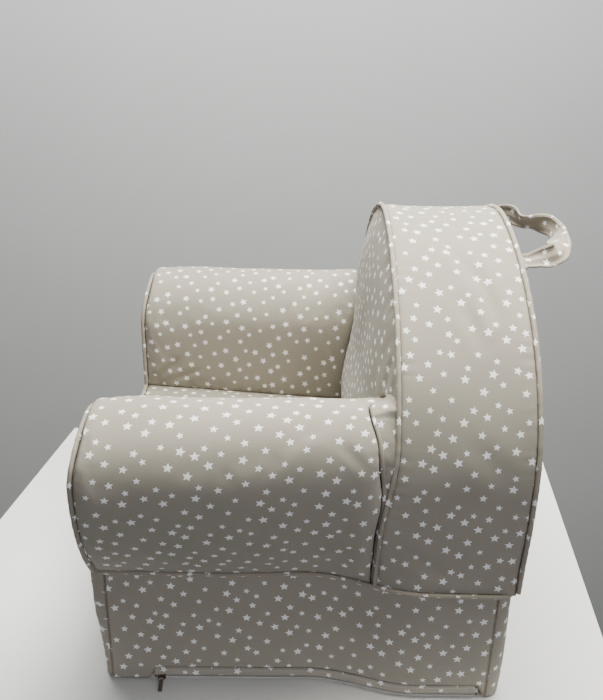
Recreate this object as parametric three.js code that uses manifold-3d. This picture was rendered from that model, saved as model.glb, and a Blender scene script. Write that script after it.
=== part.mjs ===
// A child's foam armchair in a removable slipcover: five glued foam blocks inside thin sewn
// panels, covered piping cord in the seams, a strap handle on the crest of the back and a
// zip along the bottom edge.
// Millimetres, +Z up. The sitter faces -Y and +X is the sitter's left. The origin is on the
// floor, in the middle of the footprint's depth and width.
import * as THREE from 'three';
import { mergeVertices } from 'three/addons/utils/BufferGeometryUtils.js';
import Module from 'manifold-3d';

const wasm = await Module();
wasm.setup();

// ---- Driving dimensions: the body ----
const DEPTH = 440;             // front of the arms to the rear of the back
const CREST_HEIGHT = 490;      // floor to the crest of the back
const BACK_HALF_WIDTH = 239;   // half width where the arch starts to close in
const BACK_FOOT_NARROWING = 6; // how much narrower each side is at the base seam
const ARCH_HEIGHT = 220;       // crest above the level where the arch starts
const ARCH_FULLNESS = 1.73;    // exponent of the arch curve: 2 is an ellipse
const BACK_THICKNESS = 134;    // front piping to the rear face
const BACK_FOOT_STEP = 12;     // how far the front piping comes forward at the base seam
const BACK_DOME = 20;          // how far the inner back swells ahead of its piping
const CREST_LEAN = 6;          // how far the rear face leans in at the crest

const BASE_FRONT_HALF_WIDTH = 209;
const BASE_REAR_SPREAD = 24;   // extra half width of the base below the back
const BASE_SPREAD_LEAD = 80;   // the spread starts this far ahead of the front piping
const BASE_SPREAD_LENGTH = 120;
const BOXING_BLEND = 90;       // height over which the back's sides settle above the base
const SEAM_HEIGHT = 150;       // base seam at the front
const SEAM_FALL = 9;           // how much lower that seam is at the rear
const BASE_CORNER = 18;        // radius of the base's rear corners in plan
const BASE_FRONT_CORNER = 7;   // radius of its front corners

const ARM_REACH = 276;         // middle of the chair to the outermost point of an arm
const ARM_REAR_TAPER = 22;     // how much that reach shrinks towards the back
const ARM_TOP = 351;
const ARM_TOP_X = 208;         // ridge of the arm from the middle
const ARM_BULGE_HEIGHT = 288;  // level of the arm's widest points
const ARM_INNER_X = 142;       // inner face of the arm from the middle
const ARM_FRONT_ROUND = 22;    // length over which the arm rounds off at the front
const ARM_FRONT_DROP = 17;     // how far it shrinks there

const SEAT_HALF_WIDTH = 150;
const SEAT_HEIGHT = 192;       // seat at its front edge
const SEAT_FALL = 18;          // how much lower it is at the back
const SEAT_CROWN = 3;

// ---- Driving dimensions: fabric, piping, strap ----
const FABRIC = 1.0;            // thickness of a panel
const FOAM_GAP = 0.4;          // panel to foam
const BLOCK_GAP = 0.4;         // foam block to foam block
const PIPING_RADIUS = 2.5;
const SEAM_TRIM = PIPING_RADIUS + 0.9; // a panel's edge stops this far short of the seam
const PIPING_LIFT = PIPING_RADIUS * 0.72; // cord's middle outside a smooth stretch's seam
const CORNER_LIFT = PIPING_RADIUS * 0.52; // the same where two faces meet square

const STRAP_WIDTH = 25;
const STRAP_THICKNESS = 2.4;
const STRAP_HALF_SPAN = 102;   // roots of the strap from the middle
const STRAP_REACH = 63;        // how far the loop stands out behind the rear face
const STRAP_CLEARANCE = 1.2;   // strap's root to the rear piping

// ---- Driving dimensions: zip ----
const ZIP_MARGIN = 55;         // zip's front end from the front of the base
const ZIP_END_MARGIN = 26;     // zip's rear end from the rear face
const ZIP_LEVEL = 4.6;         // middle of the teeth above the floor
const ZIP_SETBACK = 2.2;       // tape's middle inside the base's side
const TAPE_THICKNESS = 0.6;
const TAPE_TOP = 13;
const TAPE_BOTTOM = 1.3;
const TOOTH_ROW_HEIGHT = 1.1;
const TOOTH_ROW_DEPTH = 2.2;
const TOOTH_GAP = 1.0;         // between the two rows, where the slider's web runs
const TAPE_TO_TEETH = 0.3;
const STOP_LENGTH = 2.4;
const SLIDER_LENGTH = 9;
const SLIDER_HEIGHT = 6;
const SLIDER_PLATE = 1.1;
const SLIDER_WEB = 0.4;
const SLIDER_CLEARANCE = 0.35;
const BAIL_REACH = 2.5;        // bail's bar outside the slider's plate
const BAIL_BAR = 1.4;          // side of the square bar
const BAIL_POST = 1.2;
const PULL_LENGTH = 14;
const PULL_WIDTH = 4.4;
const PULL_THICKNESS = 0.9;
const PULL_EYE_WALL = 0.7;
const PULL_CLEARANCE = 0.35;
const FLAP_TOP = 17;
const FLAP_BOTTOM = 8.4;
const FLAP_STAND_OFF = 0.5;    // flap outside the base's side

// ---- Values that follow ----
const FRONT = -DEPTH / 2;
const REAR = DEPTH / 2;
const ARCH_START = CREST_HEIGHT - ARCH_HEIGHT;
const BASE_REAR_HALF_WIDTH = BASE_FRONT_HALF_WIDTH + BASE_REAR_SPREAD;
const FOAM_INSET = FABRIC + FOAM_GAP;
const PANEL_FLOOR_EDGE = 1.8;  // lower edge of the upright panels above the floor
const ZIP_FRONT = FRONT + ZIP_MARGIN;
const ZIP_REAR = REAR - ZIP_END_MARGIN;
const UPPER_ROW = ZIP_LEVEL + TOOTH_GAP / 2;
const LOWER_ROW = ZIP_LEVEL - TOOTH_GAP / 2;

const { lerp, clamp, smoothstep, degToRad } = THREE.MathUtils;
const v3 = (x, y, z) => new THREE.Vector3(x, y, z);

// ---- Outlines and surfaces of the chair ----

// Height of the base seam at depth y.
function seamHeight(y) {
  return SEAM_HEIGHT - SEAM_FALL * (y - FRONT) / DEPTH;
}

// Half width of the base at depth y: narrow below the arms, wider below the back.
function baseHalfWidth(y) {
  const start = REAR - BACK_THICKNESS - BASE_SPREAD_LEAD;
  return BASE_FRONT_HALF_WIDTH
    + BASE_REAR_SPREAD * smoothstep(y, start, start + BASE_SPREAD_LENGTH);
}

// Half width of the back at height z.
function backHalfWidth(z) {
  if (z > ARCH_START) {
    const rise = clamp((z - ARCH_START) / ARCH_HEIGHT, 0, 1);
    return BACK_HALF_WIDTH * (1 - rise * rise) ** (1 / ARCH_FULLNESS);
  }
  const foot = seamHeight(REAR);
  const climb = clamp((z - foot) / (ARCH_START - foot), 0, 1);
  return BACK_HALF_WIDTH - BACK_FOOT_NARROWING * (1 - Math.sin(climb * Math.PI / 2));
}

// Half width of the back's side at depth y: it follows the base at the seam.
function sideHalfWidth(y, z) {
  const foot = seamHeight(y);
  const free = smoothstep(z, foot, foot + BOXING_BLEND);
  return lerp(baseHalfWidth(y), backHalfWidth(z), free);
}

// 0 in the middle of the back's face, 1 on its outline.
function backEdgeNearness(x, z) {
  const rise = clamp((z - ARCH_START) / ARCH_HEIGHT, 0, 1);
  const half = z > ARCH_START ? BACK_HALF_WIDTH : backHalfWidth(z);
  return Math.min(1, (Math.abs(x) / half) ** ARCH_FULLNESS + rise * rise);
}

// Depth of the back's front piping at height z.
function frontPipingDepth(z) {
  const foot = seamHeight(0);
  return REAR - BACK_THICKNESS - BACK_FOOT_STEP * (1 - smoothstep(z, foot, ARCH_START));
}

// Depth of the back's rear piping at height z.
function rearPipingDepth(z) {
  const rise = clamp((z - ARCH_START) / ARCH_HEIGHT, 0, 1);
  return REAR - CREST_LEAN * rise * rise;
}

// Depth of the inner back's surface at (x, z).
function innerBackDepth(x, z) {
  return frontPipingDepth(z) - BACK_DOME * (1 - backEdgeNearness(x, z) ** 2);
}

// Depth where an arm's fabric ends: on the inner back, and clear of the piping at its edge.
function armEndDepth(x, z) {
  const edge = smoothstep(backEdgeNearness(x, z), 0.72, 0.94);
  return innerBackDepth(x, z) - SEAM_TRIM * 0.6 - edge * (PIPING_RADIUS + CORNER_LIFT);
}

// Depths of the boxing strip's two edges at height z.
function boxingFront(z) {
  return frontPipingDepth(z) + SEAM_TRIM;
}

function boxingRear(z) {
  return rearPipingDepth(z) - SEAM_TRIM;
}

// Height of the seat's surface.
function seatHeight(x, y) {
  const run = clamp((y - FRONT) / (innerBackDepth(0, SEAT_HEIGHT) - FRONT), 0, 1);
  const crown = SEAT_CROWN * (1 - (x / SEAT_HALF_WIDTH) ** 2) * Math.sin(Math.PI * run);
  return SEAT_HEIGHT - SEAT_FALL * run + crown;
}

// The back's outline from the right base seam over the crest to the left one, as [x, z] pairs.
function backOutline(steps, inset, footHeight) {
  const points = [];
  const wallSteps = 3;
  const wall = [];
  for (let i = 0; i < wallSteps; i++) {
    const z = lerp(footHeight, ARCH_START, i / wallSteps);
    wall.push([backHalfWidth(z) - inset, z]);
  }
  points.push(...wall);
  for (let i = 0; i <= steps; i++) {
    const angle = Math.PI * i / steps;
    const cosine = Math.cos(angle);
    const reach = Math.sign(cosine) * Math.abs(cosine) ** (2 / ARCH_FULLNESS);
    points.push([
      (BACK_HALF_WIDTH - inset) * reach,
      ARCH_START + (ARCH_HEIGHT - inset) * Math.sin(angle),
    ]);
  }
  points.push(...wall.reverse().map(([x, z]) => [-x, z]));
  return points;
}

// The left arm's section at depth y, as [x, z] pairs: from the base seam up the outer side,
// over the ridge and down the inner side to the seat seam.
function armSection(y, inset = 0) {
  const fromFront = clamp((FRONT + ARM_FRONT_ROUND - y) / ARM_FRONT_ROUND, 0, 1);
  const drop = ARM_FRONT_DROP * (1 - Math.sqrt(1 - fromFront * fromFront));
  const toBack = clamp((y - FRONT) / (REAR - BACK_THICKNESS - FRONT), 0, 1);
  const reach = ARM_REACH - ARM_REAR_TAPER * toBack - drop * 0.55;
  const flare = (reach - baseHalfWidth(y)) / (ARM_BULGE_HEIGHT - SEAM_HEIGHT);
  const outer = reach - inset * Math.hypot(1, flare);
  const top = ARM_TOP - drop - inset;
  const inner = ARM_INNER_X + drop * 0.4 + inset;
  const foot = [baseHalfWidth(y) - inset * Math.hypot(1, 2 * flare), seamHeight(y)];
  const seat = [SEAT_HALF_WIDTH + inset, seatHeight(SEAT_HALF_WIDTH, y)];
  const points = [];
  for (let i = 0; i < 5; i++) {
    const climb = i / 5;
    points.push([
      lerp(foot[0], outer, 1 - (1 - climb) ** 2),
      lerp(foot[1], ARM_BULGE_HEIGHT, climb),
    ]);
  }
  for (let i = 0; i <= 12; i++) {
    const angle = Math.PI * i / 12;
    const half = angle < Math.PI / 2 ? outer - ARM_TOP_X : ARM_TOP_X - inner;
    points.push([
      ARM_TOP_X + half * Math.cos(angle),
      ARM_BULGE_HEIGHT + (top - ARM_BULGE_HEIGHT) * Math.sin(angle),
    ]);
  }
  for (let i = 1; i <= 3; i++) {
    const fall = i / 3;
    points.push([lerp(inner, seat[0], fall ** 2), lerp(ARM_BULGE_HEIGHT, seat[1], fall)]);
  }
  return points;
}

// Depths along the straight and curved part of the base's side, from front to rear.
function sideStations() {
  return Array.from({ length: 17 }, (_, i) => (
    lerp(FRONT + BASE_FRONT_CORNER, REAR - BASE_CORNER, i / 16)
  ));
}

// Half of the base's plan outline, rounded at the corners, as [x, y] pairs from the front
// middle round the left side to the rear middle.
function halfFootprint(inset) {
  const points = [];
  const radius = BASE_CORNER - inset;
  const frontRadius = Math.max(BASE_FRONT_CORNER - inset, 1);
  const frontHalf = BASE_FRONT_HALF_WIDTH - inset;
  const rearHalf = BASE_REAR_HALF_WIDTH - inset;
  for (let i = 0; i <= 4; i++) {
    const angle = -Math.PI / 2 + Math.PI / 2 * i / 4;
    points.push([
      frontHalf - frontRadius + frontRadius * Math.cos(angle),
      FRONT + inset + frontRadius + frontRadius * Math.sin(angle),
    ]);
  }
  for (const y of sideStations().slice(1, -1)) {
    points.push([baseHalfWidth(y) - inset, y]);
  }
  for (let i = 0; i <= 4; i++) {
    const angle = Math.PI / 2 * i / 4;
    points.push([
      rearHalf - radius + radius * Math.cos(angle),
      REAR - inset - radius + radius * Math.sin(angle),
    ]);
  }
  return points;
}

// The whole plan outline of the base.
function footprint(inset) {
  const half = halfFootprint(inset);
  return [...half, ...half.map(([x, y]) => [-x, y]).reverse()];
}

// ---- Geometry helpers ----

// Cuts a polyline's ends back by the given lengths and spaces `count` points evenly along it.
function respace(points, count, startTrim, endTrim) {
  const path = new THREE.CurvePath();
  for (let i = 1; i < points.length; i++) {
    path.add(new THREE.LineCurve3(points[i - 1], points[i]));
  }
  const length = path.getLength();
  const spaced = [];
  for (let i = 0; i < count; i++) {
    const along = lerp(startTrim, length - endTrim, i / (count - 1));
    spaced.push(path.getPointAt(clamp(along / length, 0, 1)));
  }
  return spaced;
}

// Moves a point a given length towards another.
function moveToward(point, target, length) {
  const step = target.clone().sub(point).setLength(length);
  point.add(step);
}

// A closed solid from triangles given as point indices.
function solidFrom(points, triangles) {
  const geometry = new THREE.BufferGeometry();
  const positions = points.flatMap((p) => [p.x, p.y, p.z]);
  geometry.setAttribute('position', new THREE.Float32BufferAttribute(positions, 3));
  geometry.setIndex(triangles);
  return faceOutward(geometry);
}

// Turns every triangle over if the closed surface encloses a negative volume.
function faceOutward(geometry) {
  const position = geometry.getAttribute('position');
  const index = geometry.getIndex();
  const corners = [v3(0, 0, 0), v3(0, 0, 0), v3(0, 0, 0)];
  let volume = 0;
  for (let i = 0; i < index.count; i += 3) {
    corners.forEach((corner, k) => corner.fromBufferAttribute(position, index.getX(i + k)));
    volume += corners[0].dot(corners[1].clone().cross(corners[2]));
  }
  if (volume < 0) {
    const turned = [];
    for (let i = 0; i < index.count; i += 3) {
      turned.push(index.getX(i), index.getX(i + 2), index.getX(i + 1));
    }
    geometry.setIndex(turned);
  }
  return geometry;
}

// A solid through a row of closed rings with equal point counts, capped at both ends.
function loft(rings) {
  const size = rings[0].length;
  const points = rings.flat();
  const triangles = [];
  for (let r = 0; r + 1 < rings.length; r++) {
    for (let i = 0; i < size; i++) {
      const a = r * size + i;
      const b = r * size + (i + 1) % size;
      triangles.push(a, b, b + size, a, b + size, a + size);
    }
  }
  const middleOf = (ring) => ring
    .reduce((sum, p) => sum.add(p), v3(0, 0, 0)).divideScalar(size);
  const last = (rings.length - 1) * size;
  const startMiddle = points.push(middleOf(rings[0])) - 1;
  const endMiddle = points.push(middleOf(rings[rings.length - 1])) - 1;
  for (let i = 0; i < size; i++) {
    const next = (i + 1) % size;
    triangles.push(startMiddle, next, i, endMiddle, last + i, last + next);
  }
  return solidFrom(points, triangles);
}

// A thin solid: a grid of outer points (rows of equal length) and the same grid moved
// inward along its normals by the fabric's thickness. `inward` is a point inside the chair.
function sheet(rows, inward, thickness = FABRIC) {
  const height = rows.length;
  const width = rows[0].length;
  const outer = rows.flat();
  const at = (r, c) => rows[clamp(r, 0, height - 1)][clamp(c, 0, width - 1)];
  const inner = [];
  for (let r = 0; r < height; r++) {
    for (let c = 0; c < width; c++) {
      const along = at(r, c + 1).clone().sub(at(r, c - 1));
      const across = at(r + 1, c).clone().sub(at(r - 1, c));
      const normal = along.cross(across).normalize();
      if (normal.dot(inward.clone().sub(at(r, c))) < 0) {
        normal.negate();
      }
      inner.push(at(r, c).clone().addScaledVector(normal, thickness));
    }
  }
  const triangles = [];
  const under = outer.length;
  const quad = (a, b, c, d) => triangles.push(a, b, c, a, c, d);
  for (let r = 0; r + 1 < height; r++) {
    for (let c = 0; c + 1 < width; c++) {
      const a = r * width + c;
      quad(a, a + 1, a + width + 1, a + width);
      quad(under + a, under + a + width, under + a + width + 1, under + a + 1);
    }
  }
  for (let c = 0; c + 1 < width; c++) {
    const far = (height - 1) * width + c;
    quad(c + 1, c, under + c, under + c + 1);
    quad(far, far + 1, under + far + 1, under + far);
  }
  for (let r = 0; r + 1 < height; r++) {
    const near = r * width;
    const far = near + width - 1;
    quad(near, near + width, under + near + width, under + near);
    quad(far + width, far, under + far, under + far + width);
  }
  return solidFrom([...outer, ...inner], triangles);
}

// A round cord along a smooth curve through the given points.
function cord(points, steps, radius = PIPING_RADIUS) {
  const section = new THREE.Shape();
  section.absarc(0, 0, radius, 0, Math.PI * 2, false);
  return new THREE.ExtrudeGeometry(section, {
    steps,
    curveSegments: 3,
    extrudePath: new THREE.CatmullRomCurve3(points, false, 'centripetal'),
  });
}

// A flat plate with the outline given as [a, b] pairs, extruded along its third axis.
function plate(outline, thickness) {
  const shape = new THREE.Shape(outline.map(([a, b]) => new THREE.Vector2(a, b)));
  return new THREE.ExtrudeGeometry(shape, { depth: thickness, bevelEnabled: false });
}

// Mirrors a geometry from the left of the chair to the right.
function mirrored(geometry) {
  const copy = geometry.clone();
  copy.scale(-1, 1, 1);
  return faceOutward(copy);
}

// Joins geometries that overlap into one solid.
function joined(...geometries) {
  const solids = geometries.map((geometry) => {
    const bare = geometry.clone();
    bare.deleteAttribute('normal');
    bare.deleteAttribute('uv');
    const merged = mergeVertices(bare, 1e-4);
    return new wasm.Manifold(new wasm.Mesh({
      numProp: 3,
      vertProperties: new Float32Array(merged.getAttribute('position').array),
      triVerts: new Uint32Array(merged.getIndex().array),
    }));
  });
  const mesh = solids.reduce((sum, solid) => sum.add(solid)).getMesh();
  const geometry = new THREE.BufferGeometry();
  geometry.setAttribute('position', new THREE.BufferAttribute(mesh.vertProperties, 3));
  geometry.setIndex(new THREE.BufferAttribute(mesh.triVerts, 1));
  return geometry;
}

// ---- Foam ----

// Block under everything. Its lower edge is rounded back to leave room for the zip.
function foamBase() {
  const zipRoom = 7;
  const levels = [
    [FABRIC + FOAM_GAP, zipRoom + 3],
    [ZIP_LEVEL, zipRoom],
    [TAPE_TOP, zipRoom - 2.5],
    [FLAP_TOP + 6, FOAM_INSET],
  ];
  const rings = levels.map(([z, inset]) => footprint(inset).map(([x, y]) => v3(x, y, z)));
  const top = footprint(FOAM_INSET);
  rings.push(top.map(([x, y]) => v3(x, y, seamHeight(y) - SEAM_TRIM)));
  rings.push(footprint(FOAM_INSET + SEAM_TRIM).map(([x, y]) => v3(x, y, seamHeight(y) - BLOCK_GAP)));
  return loft(rings);
}

// Slab between the arms, from the front panel to the inner back panel.
function foamSeat() {
  const half = SEAT_HALF_WIDTH - BLOCK_GAP;
  const edge = 3;
  const across = [-1, -0.5, 0, 0.5, 1];
  const section = (y) => {
    const upper = across.map((share) => {
      const x = half * share;
      const round = Math.abs(share) === 1 ? edge : 0;
      return [x - Math.sign(share) * round * 0.3, seatHeight(x, y) - FOAM_INSET - round];
    });
    const lower = across.map((share) => [half * share, seamHeight(y) + BLOCK_GAP]).reverse();
    return [...upper, ...lower];
  };
  const front = FRONT + FOAM_INSET;
  const rings = [0, 0.03, 0.25, 0.5, 0.75].map((run) => {
    const y = lerp(front, innerBackDepth(0, SEAT_HEIGHT), run);
    const lower = run === 0 ? edge : 0;
    return section(y).map(([x, z], i) => v3(x, y, i < across.length ? z - lower : z));
  });
  rings.push(section(innerBackDepth(0, SEAT_HEIGHT))
    .map(([x, z]) => v3(x, innerBackDepth(x, z) - FOAM_GAP, z)));
  return loft(rings);
}

// A section of the arm's foam: the fabric's section moved inward and closed along the base.
function closedArmSection(y, inset) {
  const section = armSection(y, inset);
  const last = section.length - 1;
  section[0][1] += BLOCK_GAP + SEAM_TRIM;
  section[last] = [section[last][0] + 2 * FOAM_GAP, section[last][1] - inset - SEAM_TRIM];
  const floor = seamHeight(y) + BLOCK_GAP;
  const inner = SEAT_HALF_WIDTH + BLOCK_GAP;
  return [...section, [inner, floor], [baseHalfWidth(y) - inset - PIPING_RADIUS, floor]];
}

// Shares of the arm's length at which its section is drawn, close together at the front.
const ARM_RUNS = [0, 0.015, 0.035, 0.06, 0.1, 0.3, 0.5, 0.62, 0.72, 0.8, 0.87, 0.93, 1];

// A section of the arm a given share of the way from its front to the inner back. Each
// point stops on the inner back, so the points of one section lie at different depths.
function armRow(run, sectionAt) {
  const start = FRONT + SEAM_TRIM;
  const flat = sectionAt(lerp(start, REAR - BACK_THICKNESS, run));
  return flat.map(([x, z], i) => {
    const y = lerp(start, armEndDepth(x, z), run);
    const [across, up] = sectionAt(y)[i];
    return v3(across, y, up);
  });
}

function foamArm() {
  const front = closedArmSection(FRONT, FOAM_INSET * 2)
    .map(([x, z]) => v3(x, FRONT + FOAM_INSET, z));
  const rings = ARM_RUNS.map((run) => armRow(run, (y) => closedArmSection(y, FOAM_INSET)));
  const middle = v3(ARM_TOP_X, 0, (ARM_BULGE_HEIGHT + SEAM_HEIGHT) / 2);
  const end = rings[rings.length - 1];
  for (const share of [0.66, 0.33]) {
    rings.push(end.map((p) => {
      const q = middle.clone().lerp(p, share);
      return v3(q.x, armEndDepth(q.x, q.z), q.z);
    }));
  }
  return loft([front, ...rings]);
}

// Arched slab behind the seat, domed in front and standing on the base.
function foamBack() {
  const foot = seamHeight(frontPipingDepth(SEAM_HEIGHT)) + BLOCK_GAP;
  const behind = FOAM_INSET * 2;
  const ring = (inset, depthOf) => backOutline(32, inset, foot + SEAM_TRIM)
    .map(([x, z]) => {
      const y = depthOf(z);
      const room = backHalfWidth(z) - sideHalfWidth(y, z);
      return v3(x - Math.sign(x) * room, y, z);
    });
  const footRing = (points) => points.map((p, i) => (
    i === 0 || i === points.length - 1
      ? v3(p.x - Math.sign(p.x) * PIPING_RADIUS, p.y, foot)
      : p
  ));
  const domed = [0.35, 0.6, 0.8, 0.93].map((share) => {
    const outline = backOutline(32, FOAM_INSET, foot + SEAM_TRIM);
    return footRing(outline.map(([x, z]) => {
      const across = x * share;
      const up = lerp(foot, z, share);
      return v3(across, innerBackDepth(across, up) + behind, up);
    }));
  });
  const sides = [
    ring(FOAM_INSET + 1, (z) => frontPipingDepth(z) + SEAM_TRIM),
    ...[0.25, 0.5, 0.75].map((run) => (
      ring(FOAM_INSET, (z) => lerp(boxingFront(z), boxingRear(z), run))
    )),
    ring(FOAM_INSET, (z) => boxingRear(z)),
    ring(FOAM_INSET + SEAM_TRIM, (z) => rearPipingDepth(z) - FOAM_INSET),
  ];
  return loft([...domed, ...sides.map(footRing)]);
}

// ---- Cover panels ----

function armWrap() {
  const rows = ARM_RUNS.map((run) => {
    const row = armRow(run, armSection);
    const last = row.length - 1;
    const tilt = (row[1].x - row[0].x) / (row[1].z - row[0].z);
    moveToward(row[0], row[1], SEAM_TRIM + 0.35 * PIPING_LIFT * tilt);
    moveToward(row[last], row[last - 1], SEAM_TRIM);
    return row;
  });
  return sheet(rows, v3(ARM_TOP_X, 0, ARM_BULGE_HEIGHT - 40));
}

function seatPanel() {
  const rows = [];
  for (let i = 0; i <= 7; i++) {
    const row = [];
    for (let k = 0; k <= 8; k++) {
      const x = (SEAT_HALF_WIDTH - SEAM_TRIM) * (k / 4 - 1);
      const end = innerBackDepth(x, SEAT_HEIGHT - SEAT_FALL) - SEAM_TRIM * 0.6;
      const y = lerp(FRONT + SEAM_TRIM, end, i / 7);
      row.push(v3(x, y, seatHeight(x, y)));
    }
    rows.push(row);
  }
  return sheet(rows, v3(0, 0, 0));
}

// Lower edge of the inner back panel: over both arms and across the seat, from +X to -X.
function innerBackFoot() {
  const depth = REAR - BACK_THICKNESS;
  const arm = armSection(depth);
  const outside = arm.findIndex(([x, z]) => x < backHalfWidth(z) - SEAM_TRIM && z > ARM_BULGE_HEIGHT);
  const half = arm.slice(outside).map(([x, z]) => [x - SEAM_TRIM * 0.4, z + SEAM_TRIM]);
  half[half.length - 1][0] = SEAT_HALF_WIDTH - SEAM_TRIM;
  const seat = seatHeight(0, depth) + SEAM_TRIM;
  half[half.length - 1][1] = seat;
  const points = [...half, [0, seat], ...half.map(([x, z]) => [-x, z]).reverse()];
  return points.map(([x, z]) => v3(x, 0, z));
}

function innerBackPanel() {
  const columns = 31;
  const foot = innerBackFoot();
  const lower = respace(foot, columns, 0, 0);
  const arch = backOutline(40, SEAM_TRIM, seamHeight(0))
    .map(([x, z]) => v3(x, 0, z))
    .filter((p) => p.z > foot[0].z + 1);
  const upper = respace(arch, columns, 0, 0);
  const rows = [];
  const steps = 8;
  for (let i = 0; i <= steps; i++) {
    rows.push(lower.map((p, k) => {
      const q = p.clone().lerp(upper[k], i / steps);
      return v3(q.x, innerBackDepth(q.x, q.z), q.z);
    }));
  }
  return sheet(rows, v3(0, REAR, ARCH_START));
}

function backBoxing() {
  const foot = seamHeight(REAR - BACK_THICKNESS / 2) + SEAM_TRIM;
  const outline = backOutline(32, 0, foot);
  const rows = [0, 0.25, 0.5, 0.75, 1].map((run) => outline.map(([x, z]) => {
    const y = lerp(boxingFront(z), boxingRear(z), run);
    return v3(x - Math.sign(x) * (backHalfWidth(z) - sideHalfWidth(y, z)), y, z);
  }));
  return sheet(rows, v3(0, REAR - BACK_THICKNESS / 2, ARCH_START));
}

function outerBackPanel() {
  const columns = 33;
  const foot = seamHeight(REAR) + SEAM_TRIM;
  const corner = 24;
  const arch = backOutline(40, SEAM_TRIM, foot).map(([x, z]) => v3(x, 0, z));
  const upper = respace(arch, columns, corner, corner);
  const lower = respace([arch[0], arch[arch.length - 1]], columns, 0, 0);
  const steps = 4;
  const rows = [];
  for (let i = 0; i <= steps; i++) {
    rows.push(lower.map((p, k) => {
      const q = p.clone().lerp(upper[k], i / steps);
      return v3(q.x, rearPipingDepth(q.z), q.z);
    }));
  }
  return sheet(rows, v3(0, 0, ARCH_START));
}

// Side of the base. The side with the zip stops above the flap along the zip's length.
function baseSide(hasZip) {
  const step = 3;
  const extra = hasZip ? [ZIP_FRONT - step, ZIP_FRONT - 1, ZIP_REAR + 1, ZIP_REAR + step] : [];
  const stations = [...sideStations(), ...extra].sort((a, b) => a - b);
  const rows = stations.map((y) => {
    const aboveZip = hasZip && y > ZIP_FRONT - step / 2 && y < ZIP_REAR + step / 2;
    const low = aboveZip ? FLAP_TOP + FLAP_STAND_OFF : PANEL_FLOOR_EDGE;
    const high = seamHeight(y) - SEAM_TRIM;
    return [0, 0.5, 1].map((up) => v3(baseHalfWidth(y), y, lerp(low, high, up)));
  });
  return sheet(rows, v3(0, 0, SEAM_HEIGHT / 2));
}

// Rear of the base, wrapped round both rear corners to the side panels.
function baseRear() {
  const half = halfFootprint(0).filter(([, y]) => y > REAR - BASE_CORNER + 0.5);
  const outline = [...half, ...half.map(([x, y]) => [-x, y]).reverse()];
  const rows = outline.map(([x, y]) => [0, 0.5, 1].map((up) => (
    v3(x, y, lerp(PANEL_FLOOR_EDGE, seamHeight(REAR) - SEAM_TRIM, up))
  )));
  return sheet(rows, v3(0, 0, SEAM_HEIGHT / 2));
}

// Front of the chair in one piece: both arm fronts, the edge below the seat and the base.
function frontPanel() {
  const arm = armSection(FRONT);
  const foot = [BASE_FRONT_HALF_WIDTH, PANEL_FLOOR_EDGE];
  const half = [foot, [foot[0], seamHeight(FRONT) - 2], ...arm];
  const inset = half.map(([x, z], i) => {
    const before = half[Math.max(i - 1, 0)];
    const after = half[Math.min(i + 1, half.length - 1)];
    const run = Math.hypot(after[0] - before[0], after[1] - before[1]);
    const outX = (after[1] - before[1]) / run;
    const outZ = -(after[0] - before[0]) / run;
    return [x - outX * SEAM_TRIM, Math.max(z - outZ * SEAM_TRIM, PANEL_FLOOR_EDGE)];
  });
  inset[inset.length - 1] = [SEAT_HALF_WIDTH + SEAM_TRIM, SEAT_HEIGHT - SEAM_TRIM];
  const outline = [...inset, ...inset.map(([x, z]) => [-x, z]).reverse()];
  const geometry = plate(outline, FABRIC);
  geometry.rotateX(Math.PI / 2);
  geometry.translate(0, FRONT + FABRIC, 0);
  return geometry;
}

function bottomPanel() {
  return plate(footprint(PANEL_FLOOR_EDGE + 6), FABRIC);
}

// ---- Piping ----

// Along the top edge of the front panel, from one base seam to the other.
function frontPiping() {
  const section = armSection(FRONT).map(([x, z]) => v3(x, FRONT - CORNER_LIFT, z));
  section[0].z += 1;
  const half = respace(section, 26, 4, 0);
  const lifted = half.map((p, i) => {
    const before = half[Math.max(i - 1, 0)];
    const after = half[Math.min(i + 1, half.length - 1)];
    const along = after.clone().sub(before).normalize();
    return v3(p.x + along.z * CORNER_LIFT, p.y, p.z - along.x * CORNER_LIFT);
  });
  const seatEdge = [0.96, 0.88, 0.5, 0.15].map((share) => (
    v3(SEAT_HALF_WIDTH * share, FRONT - CORNER_LIFT, SEAT_HEIGHT + CORNER_LIFT)
  ));
  const points = [...lifted, ...seatEdge];
  return cord([...points, ...points.map((p) => v3(-p.x, p.y, p.z)).reverse()], 104);
}

// Round the back's outline, in the front or the rear seam.
function backPiping(depthOf, side) {
  const foot = seamHeight(REAR - BACK_THICKNESS / 2) + PIPING_RADIUS * 2 + PIPING_LIFT;
  const points = backOutline(24, -CORNER_LIFT, foot)
    .map(([x, z]) => {
      const y = depthOf(z) + side * CORNER_LIFT;
      return v3(x - Math.sign(x) * (backHalfWidth(z) - sideHalfWidth(y, z)), y, z);
    });
  return cord(points, 58);
}

// In the base seam, from the front of one side round the rear to the front of the other.
function basePiping() {
  const half = halfFootprint(-PIPING_LIFT).filter(([, y]) => y > FRONT + PIPING_RADIUS);
  const outline = [...half, ...half.map(([x, y]) => [-x, y]).reverse()];
  return cord(outline.map(([x, y]) => v3(x, y, seamHeight(y))), 84);
}

// ---- Strap handle ----

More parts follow.
